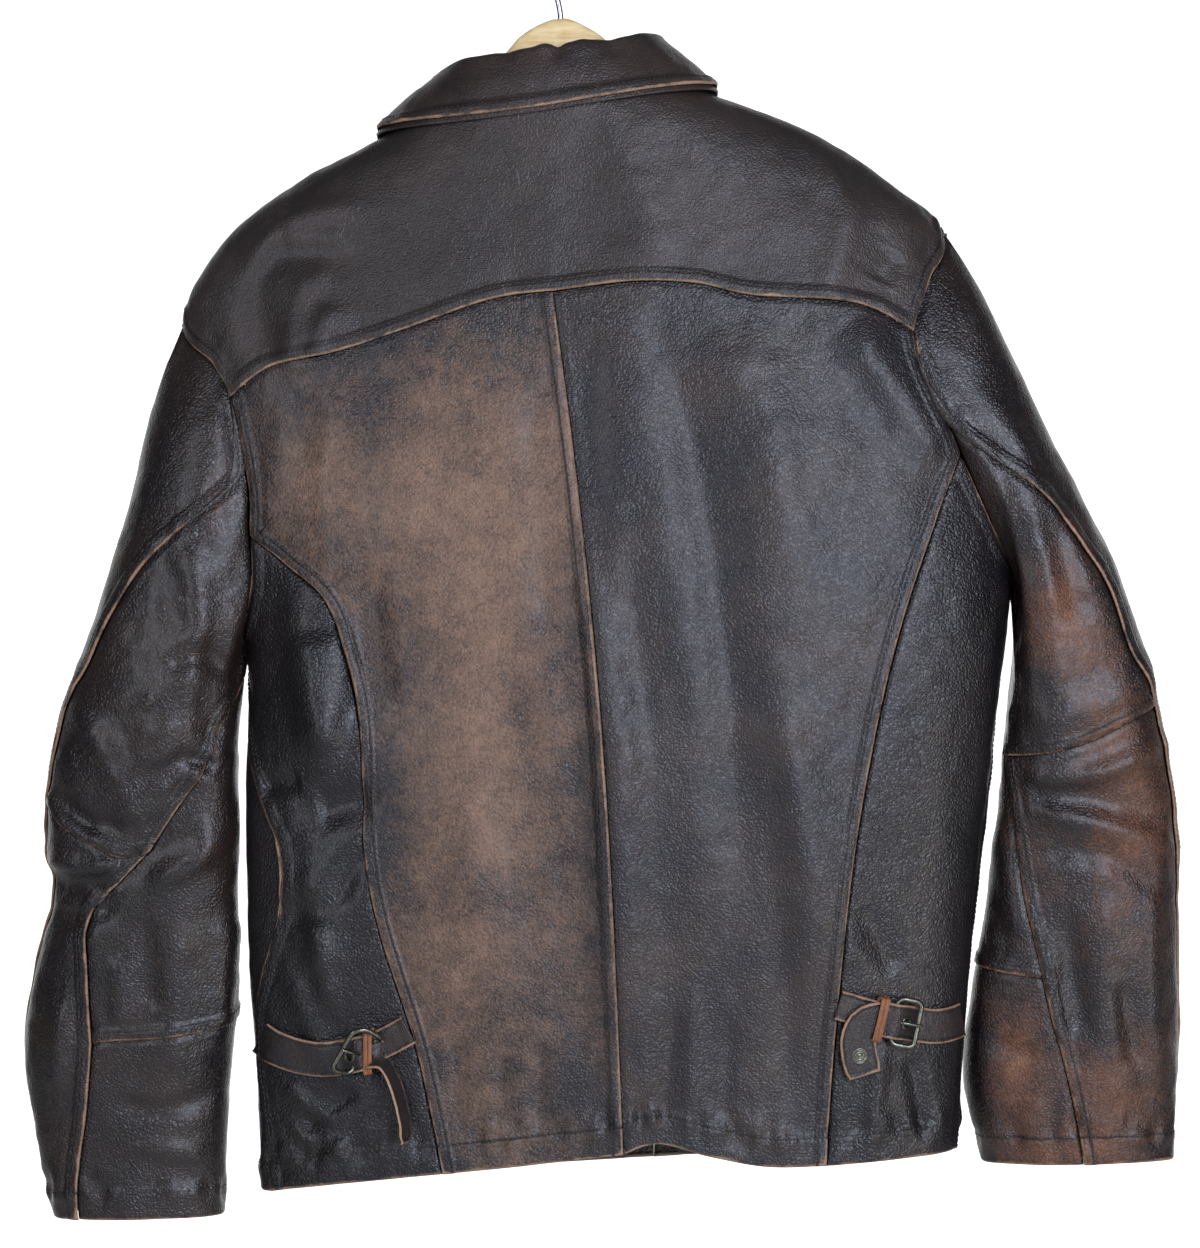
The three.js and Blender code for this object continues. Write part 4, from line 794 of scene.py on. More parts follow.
def sleevePiece(side, name, bottom, top, left, right, cells, edges, flat, area, rounds=0):
    cut = sleeve[side]
    places = net(bottom, top, left, right, crowded(cells[0]), crowded(cells[1]), rounds)
    p, n = sleeveAt(side, places)
    behind = ease(np.cos(np.radians(places[..., 0])) * 3 + 0.6) * ease(places[..., 1] * 12)
    folded = 1.6 * bankLift(cut["creases"], p[..., 0], p[..., 2]) * behind
    lift = relief(p, [], 23, 1.5) * ease(places[..., 1] * 9 + 0.1) + folded
    leatherPiece("sleeve_" + side + "_" + name, "sleeve_leather", p, n, edges, lift, 8, cut["rubs"])


for side in sides:
    cut = sleeve[side]
    stitch, turn, off = loops[side]
    armPoint = {key: np.array([np.interp(armhole[key], stitch, turn), 0]) for key in ("yokeBack", "underarm")}
    armSpot = {key: sleeveBase(side, place[:1], place[1:])[0, [0, 2]] for key, place in armPoint.items()}
    topRun = sleeveRun(side, [armSpot["yokeBack"]] + cut["top"], sleeve["elbowRow"])
    topRun[0][0] = armPoint["yokeBack"]
    outerRun = straightRun(topRun[0][-1], [sleeve["outerTurn"], 1], sleeve["rows"] - sleeve["elbowRow"])
    underRun = sleeveRun(side, [armSpot["underarm"]] + cut["under"], sleeve["elbowRow"])
    underRun[0][0] = armPoint["underarm"]
    wristRun = sleeveRun(side, cut["wrist"], sleeve["wristRow"] - sleeve["elbowRow"])
    cuffRun = sleeveRun(side, cut["cuff"], sleeve["rows"] - sleeve["wristRow"])
    cuffRun[0][-1, 1] = 1
    frontStart = np.array([np.interp(armhole["underFront"], stitch, turn), 0])
    frontEnd = np.array([sleeve["frontTurn"], 1])
    wristShare = sleeve["wristRow"] / sleeve["rows"]
    frontWrist = frontStart + (frontEnd - frontStart) * wristShare
    frontUpper = straightRun(frontStart, frontWrist, sleeve["wristRow"])
    frontLower = straightRun(frontWrist, frontEnd, sleeve["rows"] - sleeve["wristRow"])
    elbowCross = sleeveRun(side, cut["elbow"], 10)
    elbowCross[0][0], elbowCross[0][-1] = topRun[0][-1], underRun[0][-1]
    wristCross = straightRun(wristRun[0][-1], frontWrist, 3)
    back = armhole["underarm"] - armhole["yokeBack"]
    backLoop = loopRun(side, armhole["yokeBack"], armhole["underarm"])
    underLoop = loopRun(side, armhole["underarm"], armhole["underFront"])
    frontLoop = loopRun(side, armhole["underFront"], armhole["stitches"] + armhole["yokeBack"])

    sleevePiece(side, "elbow", [backLoop], [elbowCross], [topRun], [underRun], (90, 120),
                {"bottom": "tuck", "top": "lap", "left": "tuck", "right": "lap"}, (0.18, 0.34), 0.026, evenRounds)
    sleevePiece(side, "forearm", [elbowCross], [straightRun(outerRun[0][-1], cuffRun[0][-1], back)],
                [outerRun], [wristRun, cuffRun], (90, 120),
                {"bottom": "tuck", "top": "hem", "left": "tuck", "right": "lap"}, *cut["forearmCut"])
    sleevePiece(side, "under_upper", [underLoop], [wristCross], [underRun, wristRun], [frontUpper], (50, 120),
                {"bottom": "tuck", "top": "lap", "left": "tuck", "right": "tuck"}, (0.14, 0.34), 0.028)
    sleevePiece(side, "under_lower", [wristCross], [straightRun(cuffRun[0][-1], frontEnd, 3)], [cuffRun],
                [frontLower], (50, 60), {"bottom": "tuck", "top": "hem", "left": "tuck", "right": "tuck"},
                (0.13, 0.17), 0.0195)
    whole = np.array([360, 0])
    lapped = [(places - whole, steps) for places, steps in (topRun, outerRun)]
    topCuff = [straightRun(frontEnd, outerRun[0][-1] - whole, 13)]
    sleevePiece(side, "top", [frontLoop], topCuff, [frontUpper, frontLower], lapped, (130, 220),
                {"bottom": "tuck", "top": "hem", "left": "lap", "right": "lap"}, (0.30, 0.66), 0.1)
print("stage: sleeves made")

# Collar: a stand that leans in, rolls over and falls outside.
collar = {
    "endTurn": 171, "standHeight": 37, "foldRadius": 5.6, "edgeRise": 6.4, "gap": 0.6, "leather": 1.5,
    "rollStart": 0.3, "rollEnd": 0.55, "rollSweep": 0.85, "cells": (300, 56), "belly": 2.2,
    # the stand's foot, in from the neck line and up; its lean behind, added at the sides and less in front
    "footIn": 5, "footUp": 3.4, "footUpFront": 1.5, "lean": 7, "leanSide": 20, "leanFront": 5, "frontDrop": 8,
    # the fall's edge: below the neck line, lifted on the right, falling to its points in front
    "fallDrop": 9, "rightLift": 3.5, "pointDrop": 58, "pointTurn": 95, "pointReach": 70, "sideSink": 1.6,
    "frontRise": 6, "reach": {"collar_top": 0.972, "collar_under": 1.0},
    "creases": [
        [[[-8, -80], [-7, -110]], 3.5, -2.6], [[[2, -80], [4, -108]], 5, 1.6],
        [[[-20, -80], [-26, -108]], 6, 1.4], [[[-36, -78], [-50, -108]], 6, -1.4],
        [[[24, -84], [30, -112]], 6, -1.2], [[[-60, -85], [-90, -112]], 8, 1.2],
        [[[48, -90], [62, -116]], 7, 1.2], [[[-95, -110], [-75, -92]], 7, -1.2],
        [[[90, -128], [74, -104]], 8, -1.2],
    ],
    "rubs": [[40, -100, 60, 20, 0.35], [-60, -95, 50, 20, 0.3], [100, -135, 30, 20, 0.4]],
}


# A section of the collar stands away from the neck line: out is away from the neck, up is height.
def collarSection(turn, share, depthIn):
    c = collar
    level = np.full(turn.shape, float(body["neckLevel"]))
    sine = np.sin(np.radians(turn))
    side, front = np.abs(sine), np.maximum(0, -np.cos(np.radians(turn)))
    neckPoint = bodyAt(np.stack([turn, level], -1))[0]
    pointDrop = c["pointDrop"] * ease((np.abs(turn) - c["pointTurn"]) / c["pointReach"])
    fallLevel = level - c["fallDrop"] + c["rightLift"] * np.maximum(0, -sine) - pointDrop
    foot, footNormal = bodyAt(np.stack([turn, fallLevel], -1))
    foot = foot + footNormal * (c["edgeRise"] - c["sideSink"] * side + c["frontRise"] * front)[..., None]
    away = unit(np.stack([sine, np.cos(np.radians(turn)), 0 * turn], -1))
    lean = c["lean"] + c["leanSide"] * side ** 2 - c["leanFront"] * front
    crownUp = c["standHeight"] - c["frontDrop"] * front - c["foldRadius"]
    r, sweepEnd = c["foldRadius"], np.pi * (1 - c["rollSweep"])
    a, b = c["rollStart"], c["rollEnd"]
    # the stand
    f = np.clip(share / a, 0, 1)
    frontUp = c["footUpFront"] * front
    standOut = -c["footIn"] + f * (-lean - r + c["footIn"])
    standUp = c["footUp"] + frontUp + f * (crownUp - c["footUp"] - frontUp)
    # the roll
    angle = np.pi * (1 - np.clip((share - a) / (b - a), 0, 1) * c["rollSweep"])
    rollOut, rollUp = -lean + r * np.cos(angle), crownUp + r * np.sin(angle)
    # the fall
    footOut, footUp = ((foot - neckPoint) * away).sum(-1), foot[..., 2] - neckPoint[..., 2]
    g = np.clip((share - b) / (1 - b), 0, 1)
    startOut, startUp = -lean + r * np.cos(sweepEnd), crownUp + r * np.sin(sweepEnd)
    fallOut = startOut + g * (footOut - startOut) + c["belly"] * np.sin(np.pi * g)
    fallUp = startUp + g * (footUp - startUp)
    length = np.hypot(footOut - startOut, footUp - startUp)
    k = ease(g * 3)
    fallNormalOut = (1 - k) * np.cos(sweepEnd) + k * (startUp - footUp) / length
    fallNormalUp = (1 - k) * np.sin(sweepEnd) + k * (footOut - startOut) / length

    def joined(stand, roll, fall):
        return np.where(share < a, stand, np.where(share < b, roll, fall))[..., None]

    rise = np.array([0, 0, 1.0])
    n = unit(away * joined(-1, np.cos(angle), fallNormalOut) + rise * joined(-0.2, np.sin(angle), fallNormalUp))
    return (neckPoint + away * joined(standOut, rollOut, fallOut) + rise * joined(standUp, rollUp, fallUp)
            - n * depthIn), n


for name, depthIn in (("collar_top", 0), ("collar_under", collar["leather"] + collar["gap"])):
    turn, share = np.meshgrid(np.linspace(collar["endTurn"], -collar["endTurn"], collar["cells"][0] + 1),
                              crowded(collar["cells"][1], 0.4) * collar["reach"][name])
    p, n = collarSection(turn, share, depthIn)
    lift = (0.7 * noise(p, 24, 31) + 0.3 * noise(p, 10, 32)) * ease(share * 5)
    lift += bankLift(collar["creases"], p[..., 0], p[..., 2]) * (p[..., 1] > 0) * ease((share - 0.3) * 8)
    edges = {"top": "lap", "left": "lap", "right": "lap"} if name == "collar_top" else {"top": "free"}
    leatherPiece(name, "collar_leather", p, n, edges, lift, 14, collar["rubs"])
print("stage: collar made")

# Adjusters: strap, keeper and buckle on each side.
adjuster = {
    "left": {
        "line": [[199, -785], [188, -790.5], [172, -795.5], [156, -797.5], [140, -795.5], [127, -792],
                 [119, -791.5], [111, -798], [104, -809], [99, -824], [95.5, -840], [95.5, -853]],
        "heel": [127, -792],
        "anchor": [[95, -776], [111, -785], [127, -792]],
        "stand": 76, "yaw": -42, "tilt": 48, "keeper": -6, "slant": 0.2, "square": 0.5, "narrow": 0.8,
        "cut": ((0.2, 0.026), 0.0048), "tipDrop": -6,
    },
    "right": {
        "line": [[-287, -773], [-276, -775], [-264, -775.6], [-252, -773.5], [-237, -770.5], [-227, -769],
                 [-217, -772], [-212, -782], [-213, -795], [-217, -808]],
        "heel": [-237, -770.5],
        "anchor": [[-199, -759], [-218, -765], [-237, -770.5]],
        "stand": 0, "yaw": 0, "tilt": 9, "keeper": -10.5, "slant": 0.09, "square": 0.1, "narrow": 1,
        "cut": ((0.15, 0.026), 0.0036), "tipDrop": 2.5,
    },
    "width": 24.5, "thick": 1.8, "rise": 2.4, "wire": 1.8, "frameHeight": 7, "keeperHeight": 7.2, "reach": 15,
    "half": 16, "gap": 0.4, "edgeWear": 1.6, "corner": 4.5, "eyelet": 3.9, "skinReach": 12, "skinBlend": 5,
    "shortCut": ((0.058, 0.021), 0.00115), "shortNarrow": 0.84, "keeperSpots": 64,
    # one turn of the keeper: across and out, the bare cut edges first and last
    "keeperSection": ((-1.35, 0.0), (-1.4, 0.75), (-0.95, 1.25), (0, 1.4), (0.95, 1.25), (1.4, 0.75), (1.35, 0.0)),
    "prong": [[1.5, 1.8], [5, 3.2], [9, 3.6], [13, 3.2], [16.4, 2.4], [17.6, 1.1]],
    "snap": [[0.02, -0.6], [5.4, -0.6], [5.75, -0.1], [5.7, 0.55], [5.2, 0.95], [4.6, 0.85], [4.2, 0.35],
             [3.6, 0.25], [3.2, 0.75], [2.6, 1.0], [2.1, 0.7], [1.7, 0.3], [1.2, 0.3], [0.8, 0.6], [0.02, 0.75]],
}
skinPoints = {side: np.concatenate([outerSkins[name + side] for name in ("back_", "side_", "front_")])
              for side in sides}


def skinUnder(side, spots):  # depth of the dressed leather at x, z: a smooth mean of the points around
    near = skinPoints[side]
    found = np.zeros(len(spots))
    for k, spot in enumerate(spots):
        gap = np.hypot(near[:, 0] - spot[0], near[:, 2] - spot[1])
        close = gap < adjuster["skinReach"]
        weight = bell(gap[close], 0, adjuster["skinBlend"])
        found[k] = (near[close, 1] * weight).sum() / weight.sum() if close.any() else np.nan
    return found


# Places on an adjuster: u along its middle line from the heel bar, v across it, h off the leather. The leather
# under it is sampled at every eighth spot of the line, on seven lines 6 mm apart.
class Track:
    def __init__(self, side, points, heel):
        self.line = spaced(points, np.linspace(0, 1, 241))
        self.step = np.linalg.norm(np.diff(self.line, axis=0), axis=1).sum() / 240
        self.heel = int(np.argmin(np.linalg.norm(self.line - np.array(heel), axis=1)))
        along = unit(np.gradient(self.line, axis=0))
        across = np.stack([-along[:, 1], along[:, 0]], -1)
        spots = self.line[::8, None] + across[::8, None] * np.linspace(-18, 18, 7)[None, :, None]
        place = bodyPlace(spots.reshape(-1, 2))
        p, n = bodyAt(place)
        y = skinUnder(side, spots.reshape(-1, 2))
        p = np.stack([spots[..., 0].ravel(), np.where(np.isnan(y), p[:, 1], y), spots[..., 1].ravel()], -1)
        self.p, self.n = p.reshape(-1, 7, 3), n.reshape(-1, 7, 3)

    def at(self, u, v, h):
        u, v, h = np.broadcast_arrays(u, v, h)
        k = np.clip(self.heel - u / self.step, 0, 240) / 8
        j = np.clip((v + 18) / 6, 0, 6)
        k0, j0 = np.minimum(k.astype(int), 29), np.minimum(j.astype(int), 5)
        f, g = (k - k0)[..., None], (j - j0)[..., None]

        def between(grid):
            return ((1 - f) * ((1 - g) * grid[k0, j0] + g * grid[k0, j0 + 1])
                    + f * ((1 - g) * grid[k0 + 1, j0] + g * grid[k0 + 1, j0 + 1]))

        n = unit(between(self.n))
        return between(self.p) + n * h[..., None], n

    @property
    def start(self):
        return self.heel * self.step

    @property
    def tip(self):
        return -(240 - self.heel) * self.step


# A strap: a grid of its top face, closed below. Its edges are rounded and worn, with a stitched groove.
def strapPiece(name, p, n, flat, area, seed):
    rows, columns = p.shape[:2]
    across = np.cumsum(np.linalg.norm(np.diff(p, axis=1, prepend=p[:, :1]), axis=-1), axis=1)
    fromSide = np.minimum(across, across[:, -1:] - across)
    length = lengthsAlong(p[:, columns // 2])
    fromEnd = np.minimum(length[-1] - length, 99)[:, None]
    d = np.minimum(fromSide, fromEnd)
    bead = 0.55 * bell(d, 1.3, 1.0) - 0.7 * (1 - np.clip(d / 1.2, 0, 1)) ** 2
    groove = -0.35 * bell(d, 3.1, 0.7)
    p = p + n * (bead + groove + 0.25 * noise(p, 7, seed) + 0.1 * noise(p, 2.5, seed + 1))[..., None]
    n = normalsOf(p, n)
    wear = 1.1 * bell(d, 0, adjuster["edgeWear"]) + 0.2 * noise(p, 6, seed)
    # painted shade in the stitched groove
    seamShade = 0.8 * bell(d, 3.1, 0.9)
    rub = 0.35 * noise(p, 18, seed + 3) + 0.2
    thick = np.full((rows, columns), adjuster["thick"])
    piece = wallObject(name + "_leather", p, n, thick, {"edge": wear, "seamShade": seamShade, "rub": rub})
    sheetPiece(name, "strap_leather", piece)


def tube(name, line, radius, node, closed=False, ring=12):  # a round wire along a line in millimetres
    line = np.asarray(line)
    ahead = unit(np.roll(line, -1, 0) - np.roll(line, 1, 0)) if closed else unit(np.gradient(line, axis=0))
    up = np.array([0.02, 1, 0.03])
    side = unit(np.cross(ahead, up))
    up = np.cross(side, ahead)
    radius = np.broadcast_to(radius, len(line))[:, None, None]
    turn = np.linspace(0, 2 * np.pi, ring, endpoint=False)[None, :, None]
    points = line[:, None] + radius * (np.cos(turn) * side[:, None] + np.sin(turn) * up[:, None])
    points = points.reshape(-1, 3)
    faces = [ringFaces(len(line), ring, True)] if closed else cappedFaces(len(line), ring)
    return fitted(meshObject(name, points, outwards(points, faces)), node)


# A closed profile of radius and height, spun on an axis.
def turnedDisc(name, place, normal, profile, node, ring=40):
    normal = unit(np.asarray(normal, float))
    side = unit(np.cross(normal, np.array([0.1, 0.2, 1.0])))
    other = np.cross(normal, side)
    r, h = np.array(profile, float).T
    turn = np.linspace(0, 2 * np.pi, ring, endpoint=False)
    out = np.cos(turn)[:, None] * side + np.sin(turn)[:, None] * other
    points = np.asarray(place) + r[:, None, None] * out[None] + (h[:, None] * normal)[:, None]
    points = points.reshape(-1, 3)
    return fitted(meshObject(name, points, outwards(points, cappedFaces(len(r), ring))), node)


metalPieces = []
for side in sides:
    spec, a = adjuster[side], adjuster
    track = Track(side, spec["line"], spec["heel"])
    heelTop = a["frameHeight"] + a["wire"] + 2 * a["gap"]
    rise, keeperAt, over = a["rise"], spec["keeper"], a["keeperHeight"]
    lift = np.array([  # place along the strap, height of its under side
        [track.start, 0.5], [track.start - 14, rise], [a["reach"] + 4, rise], [a["reach"] - 1.5, rise + 0.2],
        [a["reach"] - 5, rise + 2.4], [4, heelTop - 1.6], [1.2, heelTop], [-2, heelTop], [keeperAt + 4, over],
        [keeperAt - 8, over - 0.6], [track.tip, over - spec["tipDrop"]]])

    def strapHeight(u):
        return np.interp(-u, -lift[:, 0], lift[:, 1])

    u = np.linspace(track.start - 0.5, track.tip, 151)
    v = crowded(24, 0.7) * 2 - 1
    h = np.convolve(np.pad(strapHeight(u), 3, mode="edge"), np.ones(7) / 7, mode="valid")
    twist = np.radians(spec["stand"]) * ease((spec["keeper"] + 1 - u) / 16)
    taper = 1 - spec["square"] * ease((track.tip + 9 - u) / 9) ** 2
    taper *= 1 - (1 - spec["narrow"]) * ease((spec["keeper"] - u) / 16)
    offset = v[None] * a["width"] / 2 * taper[:, None]
    p, n = track.at(u[:, None], offset * np.cos(twist)[:, None],
                    (h + a["thick"])[:, None] + np.sin(twist)[:, None] * offset)
    strapPiece("strap_long_" + side, p, normalsOf(p, n), *spec["cut"], 31)

    # the short strap runs from the princess seam and wraps the heel bar
    anchor = Track(side, spec["anchor"], spec["anchor"][0])
    wrap = a["wire"] + a["gap"]
    u2 = np.linspace(0, 1, 41)
    h2 = np.interp(u2, [0, 0.3, 0.6, 1], [rise, rise + 1, 3.0, a["frameHeight"] - wrap - a["thick"]])
    length = anchor.step * 240
    narrow = a["width"] * a["shortNarrow"]
    w2 = v[None] * narrow / 2
    pa, na = anchor.at(-(u2 * length)[:, None], w2, (h2 + a["thick"])[:, None])
    # the anchor's line runs towards the heel and the strap's line away from it
    turn = np.radians(np.linspace(0, 180, 18))[1:]
    pb = track.at((wrap * np.sin(turn))[:, None], -w2, (a["frameHeight"] - wrap * np.cos(turn))[:, None])[0]
    p2 = np.concatenate([pa[:-1], pb])
    strapPiece("strap_short_" + side, p2, normalsOf(p2, na[0, 0] + 0 * p2), *a["shortCut"], 37)

    def leaning(along, across, height):  # a spot of the buckle, which leans and turns about its heel bar
        tilt, yaw = np.radians(spec["tilt"]), np.radians(spec["yaw"])
        flat, up = along * np.cos(tilt) - height * np.sin(tilt), along * np.sin(tilt) + height * np.cos(tilt)
        return track.at(flat * np.cos(yaw) - across * np.sin(yaw), flat * np.sin(yaw) + across * np.cos(yaw),
                        a["frameHeight"] + up)[0]

    # the frame: round wire with soft corners, a little bowed
    corner = a["corner"]
    bend = np.radians(np.linspace(0, 90, 8))
    far, near, out = a["reach"] - corner, corner - 0.5, a["half"] - corner
    loop = np.concatenate([
        np.stack([cu + corner * np.cos(bend + np.radians(first)), cv + corner * np.sin(bend + np.radians(first))], -1)
        for cu, cv, first in ((far, out, 0), (near, out, 90), (near, -out, 180), (far, -out, 270))])
    loop = np.concatenate([np.linspace(b, c, 4)[:-1] for b, c in zip(loop, np.roll(loop, -1, 0))])
    line = leaning(loop[:, 0], loop[:, 1], 0.5 * np.sin(loop[:, 0] / 5))
    metalPieces.append(tube("buckle_frame_" + side + "_wire", line, a["wire"] * (1 + 0.02 * noise(line, 6, 3)),
                            "buckle_frame_" + side, True, 14))

    # the prong: thick where it bends round the bar, thin and blunt where it rests on the far one
    prong = np.array(a["prong"])
    prong = np.stack([np.interp(np.linspace(0, 5, 26), np.arange(6), prong[:, k]) for k in (0, 1)], -1)
    line = leaning(prong[:, 0], 0 * prong[:, 0], prong[:, 1])
    size = np.interp(np.linspace(0, 1, 26), [0, 0.8, 1], [1.25, 1.1, 0.5])
    metalPieces.append(tube("buckle_prong_" + side + "_wire", line, size, "buckle_prong_" + side))

    # the eyelet: a rolled ring set in the strap
    eyeU = a["reach"] / 2 + 0.2
    height = strapHeight(eyeU) + a["thick"]
    place, up = (value[0] for value in track.at(np.array([eyeU]), 0.0, height + 0.3))
    lean = unit(track.at(np.array([eyeU + 3]), 0.0, strapHeight(eyeU + 3))[0][0]
                - track.at(np.array([eyeU - 3]), 0.0, strapHeight(eyeU - 3))[0][0])
    up = unit(up - lean * (up * lean).sum())
    roll = [[a["eyelet"] + 1.15 * np.cos(x), 0.75 * np.sin(x)] for x in np.linspace(0, 2 * np.pi, 13)]
    metalPieces.append(turnedDisc("eyelet_" + side + "_ring", place, up, roll, "eyelet_" + side))

    # the keeper: two turns of pale leather side by side round both straps
    tall, wide = over + a["thick"] + 2.3, a["width"] / 2 + 2.6
    spots, section = a["keeperSpots"], a["keeperSection"]
    seat = track.line[int(track.heel - keeperAt / track.step)]
    ahead = seat - track.line[int(track.heel - (keeperAt + 9) / track.step)]
    local = Track(side, [seat - 20 * unit(ahead), seat, seat + 20 * unit(ahead)], seat)
    angle = np.radians(np.linspace(0, 360, spots, endpoint=False))
    outward = unit(np.stack([np.cos(angle) * 0.6, np.sin(angle)], -1))
    middleV = wide * swell(np.cos(angle), 0.35)
    points, bare = [], []
    for which, middle in enumerate((1.5, -1.5)):
        middleH = 0.6 + (tall - 0.6) * (0.5 + 0.5 * swell(np.sin(angle), 0.35)) + 0.3 * which
        for across, out in section:
            points.append(local.at(middle + across + spec["slant"] * middleV, middleV + outward[:, 0] * (out - 0.6),
                                   np.maximum(middleH + outward[:, 1] * (out - 0.6), 0.3))[0])
            bare.append(np.full(spots, 1.0 if out < 0.9 else 0.1))
    points = np.concatenate(points)
    oneTurn = ringFaces(len(section), spots, True)
    faces = outwards(points, [np.concatenate([oneTurn, oneTurn + len(section) * spots])])
    none = np.zeros(len(points))
    band = meshObject("keeper_" + side + "_band", points, faces,
                      {"edge": np.concatenate(bare), "rub": none, "seamShade": none, "lining": none})
    leatherPieces.append((fitted(band, "keeper_" + side), "keeper_leather"))

    if side == "right":  # the snap: a cap with a rolled rim, a groove and a domed stud
        place, up = track.at(np.array([track.tip + 14.5]), 0.0, over - 1.9 + a["thick"])
        metalPieces.append(turnedDisc("snap_right_cap", place[0], up[0], a["snap"], "snap_right"))
print("stage: straps and hardware made")

# Hanger: shaped maple with soft edges, a joint down its middle and a wire hook.
hanger = {
    "top": [[-236, -216], [-200, -181], [-150, -157], [-103, -139], [-70, -119], [-44, -93], [-30, -82],
            [-8.4, -74], [16, -84], [32, -101], [62, -138], [101, -165], [150, -194], [190, -221], [214, -250]],
    "bottom": [[-226, -236], [-160, -196], [-90, -164], [-6, -140], [70, -176], [150, -226], [206, -266]],
    "half": 6.8, "joint": -7, "jointWidth": 0.8, "seamDip": 0.7, "length": 450, "endReach": 9, "thinEnds": 0.35,
    "stem": [[-8.2, -76], [-8.1, -70], [-6, -60], [-3, -50], [2, -44]], "wire": 2, "radius": 22,
}


def hangerPiece():
    across = np.linspace(0, 1, 181)
    top, bottom = spaced(hanger["top"], across), spaced(hanger["bottom"], across)
    middle, reach = (top + bottom) / 2, (top - bottom) / 2
    angle = np.linspace(0, 2 * np.pi, 40, endpoint=False)
    up, out = swell(np.cos(angle), 0.6), swell(np.sin(angle), 0.6)
    spot = middle[:, None] + reach[:, None] * up[None, :, None]
    fromEnds = [share * hanger["length"] for share in (across, 1 - across)]
    ends = 1 - sum(hanger["thinEnds"] * bell(far, 0, hanger["endReach"]) for far in fromEnds)
    dip = hanger["seamDip"] * bell(spot[..., 0], hanger["joint"], hanger["jointWidth"])
    y = out[None] * (hanger["half"] * ends[:, None] - dip)
    points = np.stack([spot[..., 0], y, spot[..., 1] - dip * np.maximum(up, 0)[None]], -1)
    faces = cappedFaces(*points.shape[:2])
    points = points.reshape(-1, 3)
    return fitted(meshObject("hanger_wood_shaped", points, outwards(points, faces)), "hanger_wood")


hangerWood = hangerPiece()
turn = np.radians(np.linspace(-70, 185, 70))
radius, wire = hanger["radius"], hanger["wire"]
arc = np.stack([radius * np.cos(turn), wire - radius + radius * np.sin(turn)], -1)
line = np.concatenate([spaced(hanger["stem"], np.linspace(0, 1, 24))[:-1], arc])
line = np.stack([line[:, 0], 0 * line[:, 0], line[:, 1]], -1)
size = np.full(len(line), float(wire))
size[-3:] = [1.9, 1.5, 0.8]  # a blunt end
hookPiece = tube("hanger_hook_wire", line, size, "hanger_hook", ring=16)

# Front buttons: turned horn with a rim and a ring-shaped well. Rows are radius and height.
button = {"count": 5, "profile": [
    [0.02, -1.5], [8.2, -1.5], [8.9, -0.8], [8.9, 0.5], [8.3, 1.4], [7.4, 1.5], [6.8, 0.9], [5.4, 0.5],
    [3.2, 0.5], [3.0, 0.1], [1.4, 0.1], [1.2, 0.5], [0.02, 0.55]]}
buttonPieces = []
for k in range(1, button["count"] + 1):
    node = "button_" + str(k)
    middle = (np.array(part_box(node)) / metres).mean(0)
    buttonPieces.append(turnedDisc(node + "_turned", middle, [0, -1, 0], button["profile"], node, 48))
print("stage: hanger and buttons made")


# Thread: small closed stitches laid along the seams.
def stitchObject(name, lines):
    s = seamStyle
    places, alongs, ups = [], [], []
    for spots, up in lines:
        length = lengthsAlong(spots)
        count = int(length[-1] / s["stitchPitch"])
        if count < 2:
            continue
        at = (np.arange(count) + 0.5) * length[-1] / count

        def along(values, shift=0.0):
            return np.stack([np.interp(at + shift, length, values[:, k]) for k in range(3)], -1)

        places.append(along(spots))
        alongs.append(unit(along(spots, 1.0) - along(spots, -1.0)))
        ups.append(unit(along(up)))
    centre, ahead, up = np.concatenate(places), np.concatenate(alongs), np.concatenate(ups)
    across = np.cross(ahead, up)
    # one stitch: five rings of five points, small at both ends
    spot = np.array([-0.5, -0.38, 0, 0.38, 0.5]) * s["stitchLength"]
    size = np.array([0.25, 0.85, 1, 0.85, 0.25]) * s["threadRadius"]
    angle = np.arange(5) * 2 * np.pi / 5
    local = np.stack([np.repeat(spot, 5), np.outer(size, np.cos(angle)).ravel(),
                      np.outer(size, np.sin(angle)).ravel() + s["threadProud"]], -1)
    points = (centre[:, None] + local[None, :, :1] * ahead[:, None] + local[None, :, 1:2] * across[:, None]
              + local[None, :, 2:] * up[:, None])
    start = (np.arange(len(centre)) * 25)[:, None, None]
    faces = [(start + group[None]).reshape(-1, group.shape[1]) for group in cappedFaces(5, 5)]
    points = points.reshape(-1, 3)
    print("  stitches", len(centre))
    return fitted(meshObject(name, points, outwards(points, faces)))


seamThread = stitchObject("seam_thread", stitchLines)
print("stage: thread made")


def colour(hexCode):  # sRGB hex to linear
    v = np.array([int(hexCode[k:k + 2], 16) / 255 for k in (1, 3, 5)])
    return (*np.where(v <= 0.04045, v / 12.92, ((v + 0.055) / 1.055) ** 2.4), 1.0)


def addNode(tree, kind, inputs=None, **settings):  # inputs are sockets to link or values to set
    node = tree.nodes.new(kind)
    for key, value in settings.items():
        setattr(node, key, value)
    for key, source in (inputs or {}).items():
        if isinstance(source, bpy.types.NodeSocket):
            tree.links.new(source, node.inputs[key])
        else:
            node.inputs[key].default_value = source
    return node


def newMaterial(name):
    material = bpy.data.materials.new(name)
    material.use_nodes = True
    tree = material.node_tree
    tree.nodes.clear()
    shader = addNode(tree, "ShaderNodeBsdfPrincipled")
    addNode(tree, "ShaderNodeOutputMaterial", {"Surface": shader.outputs[0]})
    return material, tree, shader, addNode(tree, "ShaderNodeTexCoord").outputs["Object"]


def patternScale(size):  # pattern scale for features of so many millimetres, on coordinates in metres
    return 1 / (size * metres)


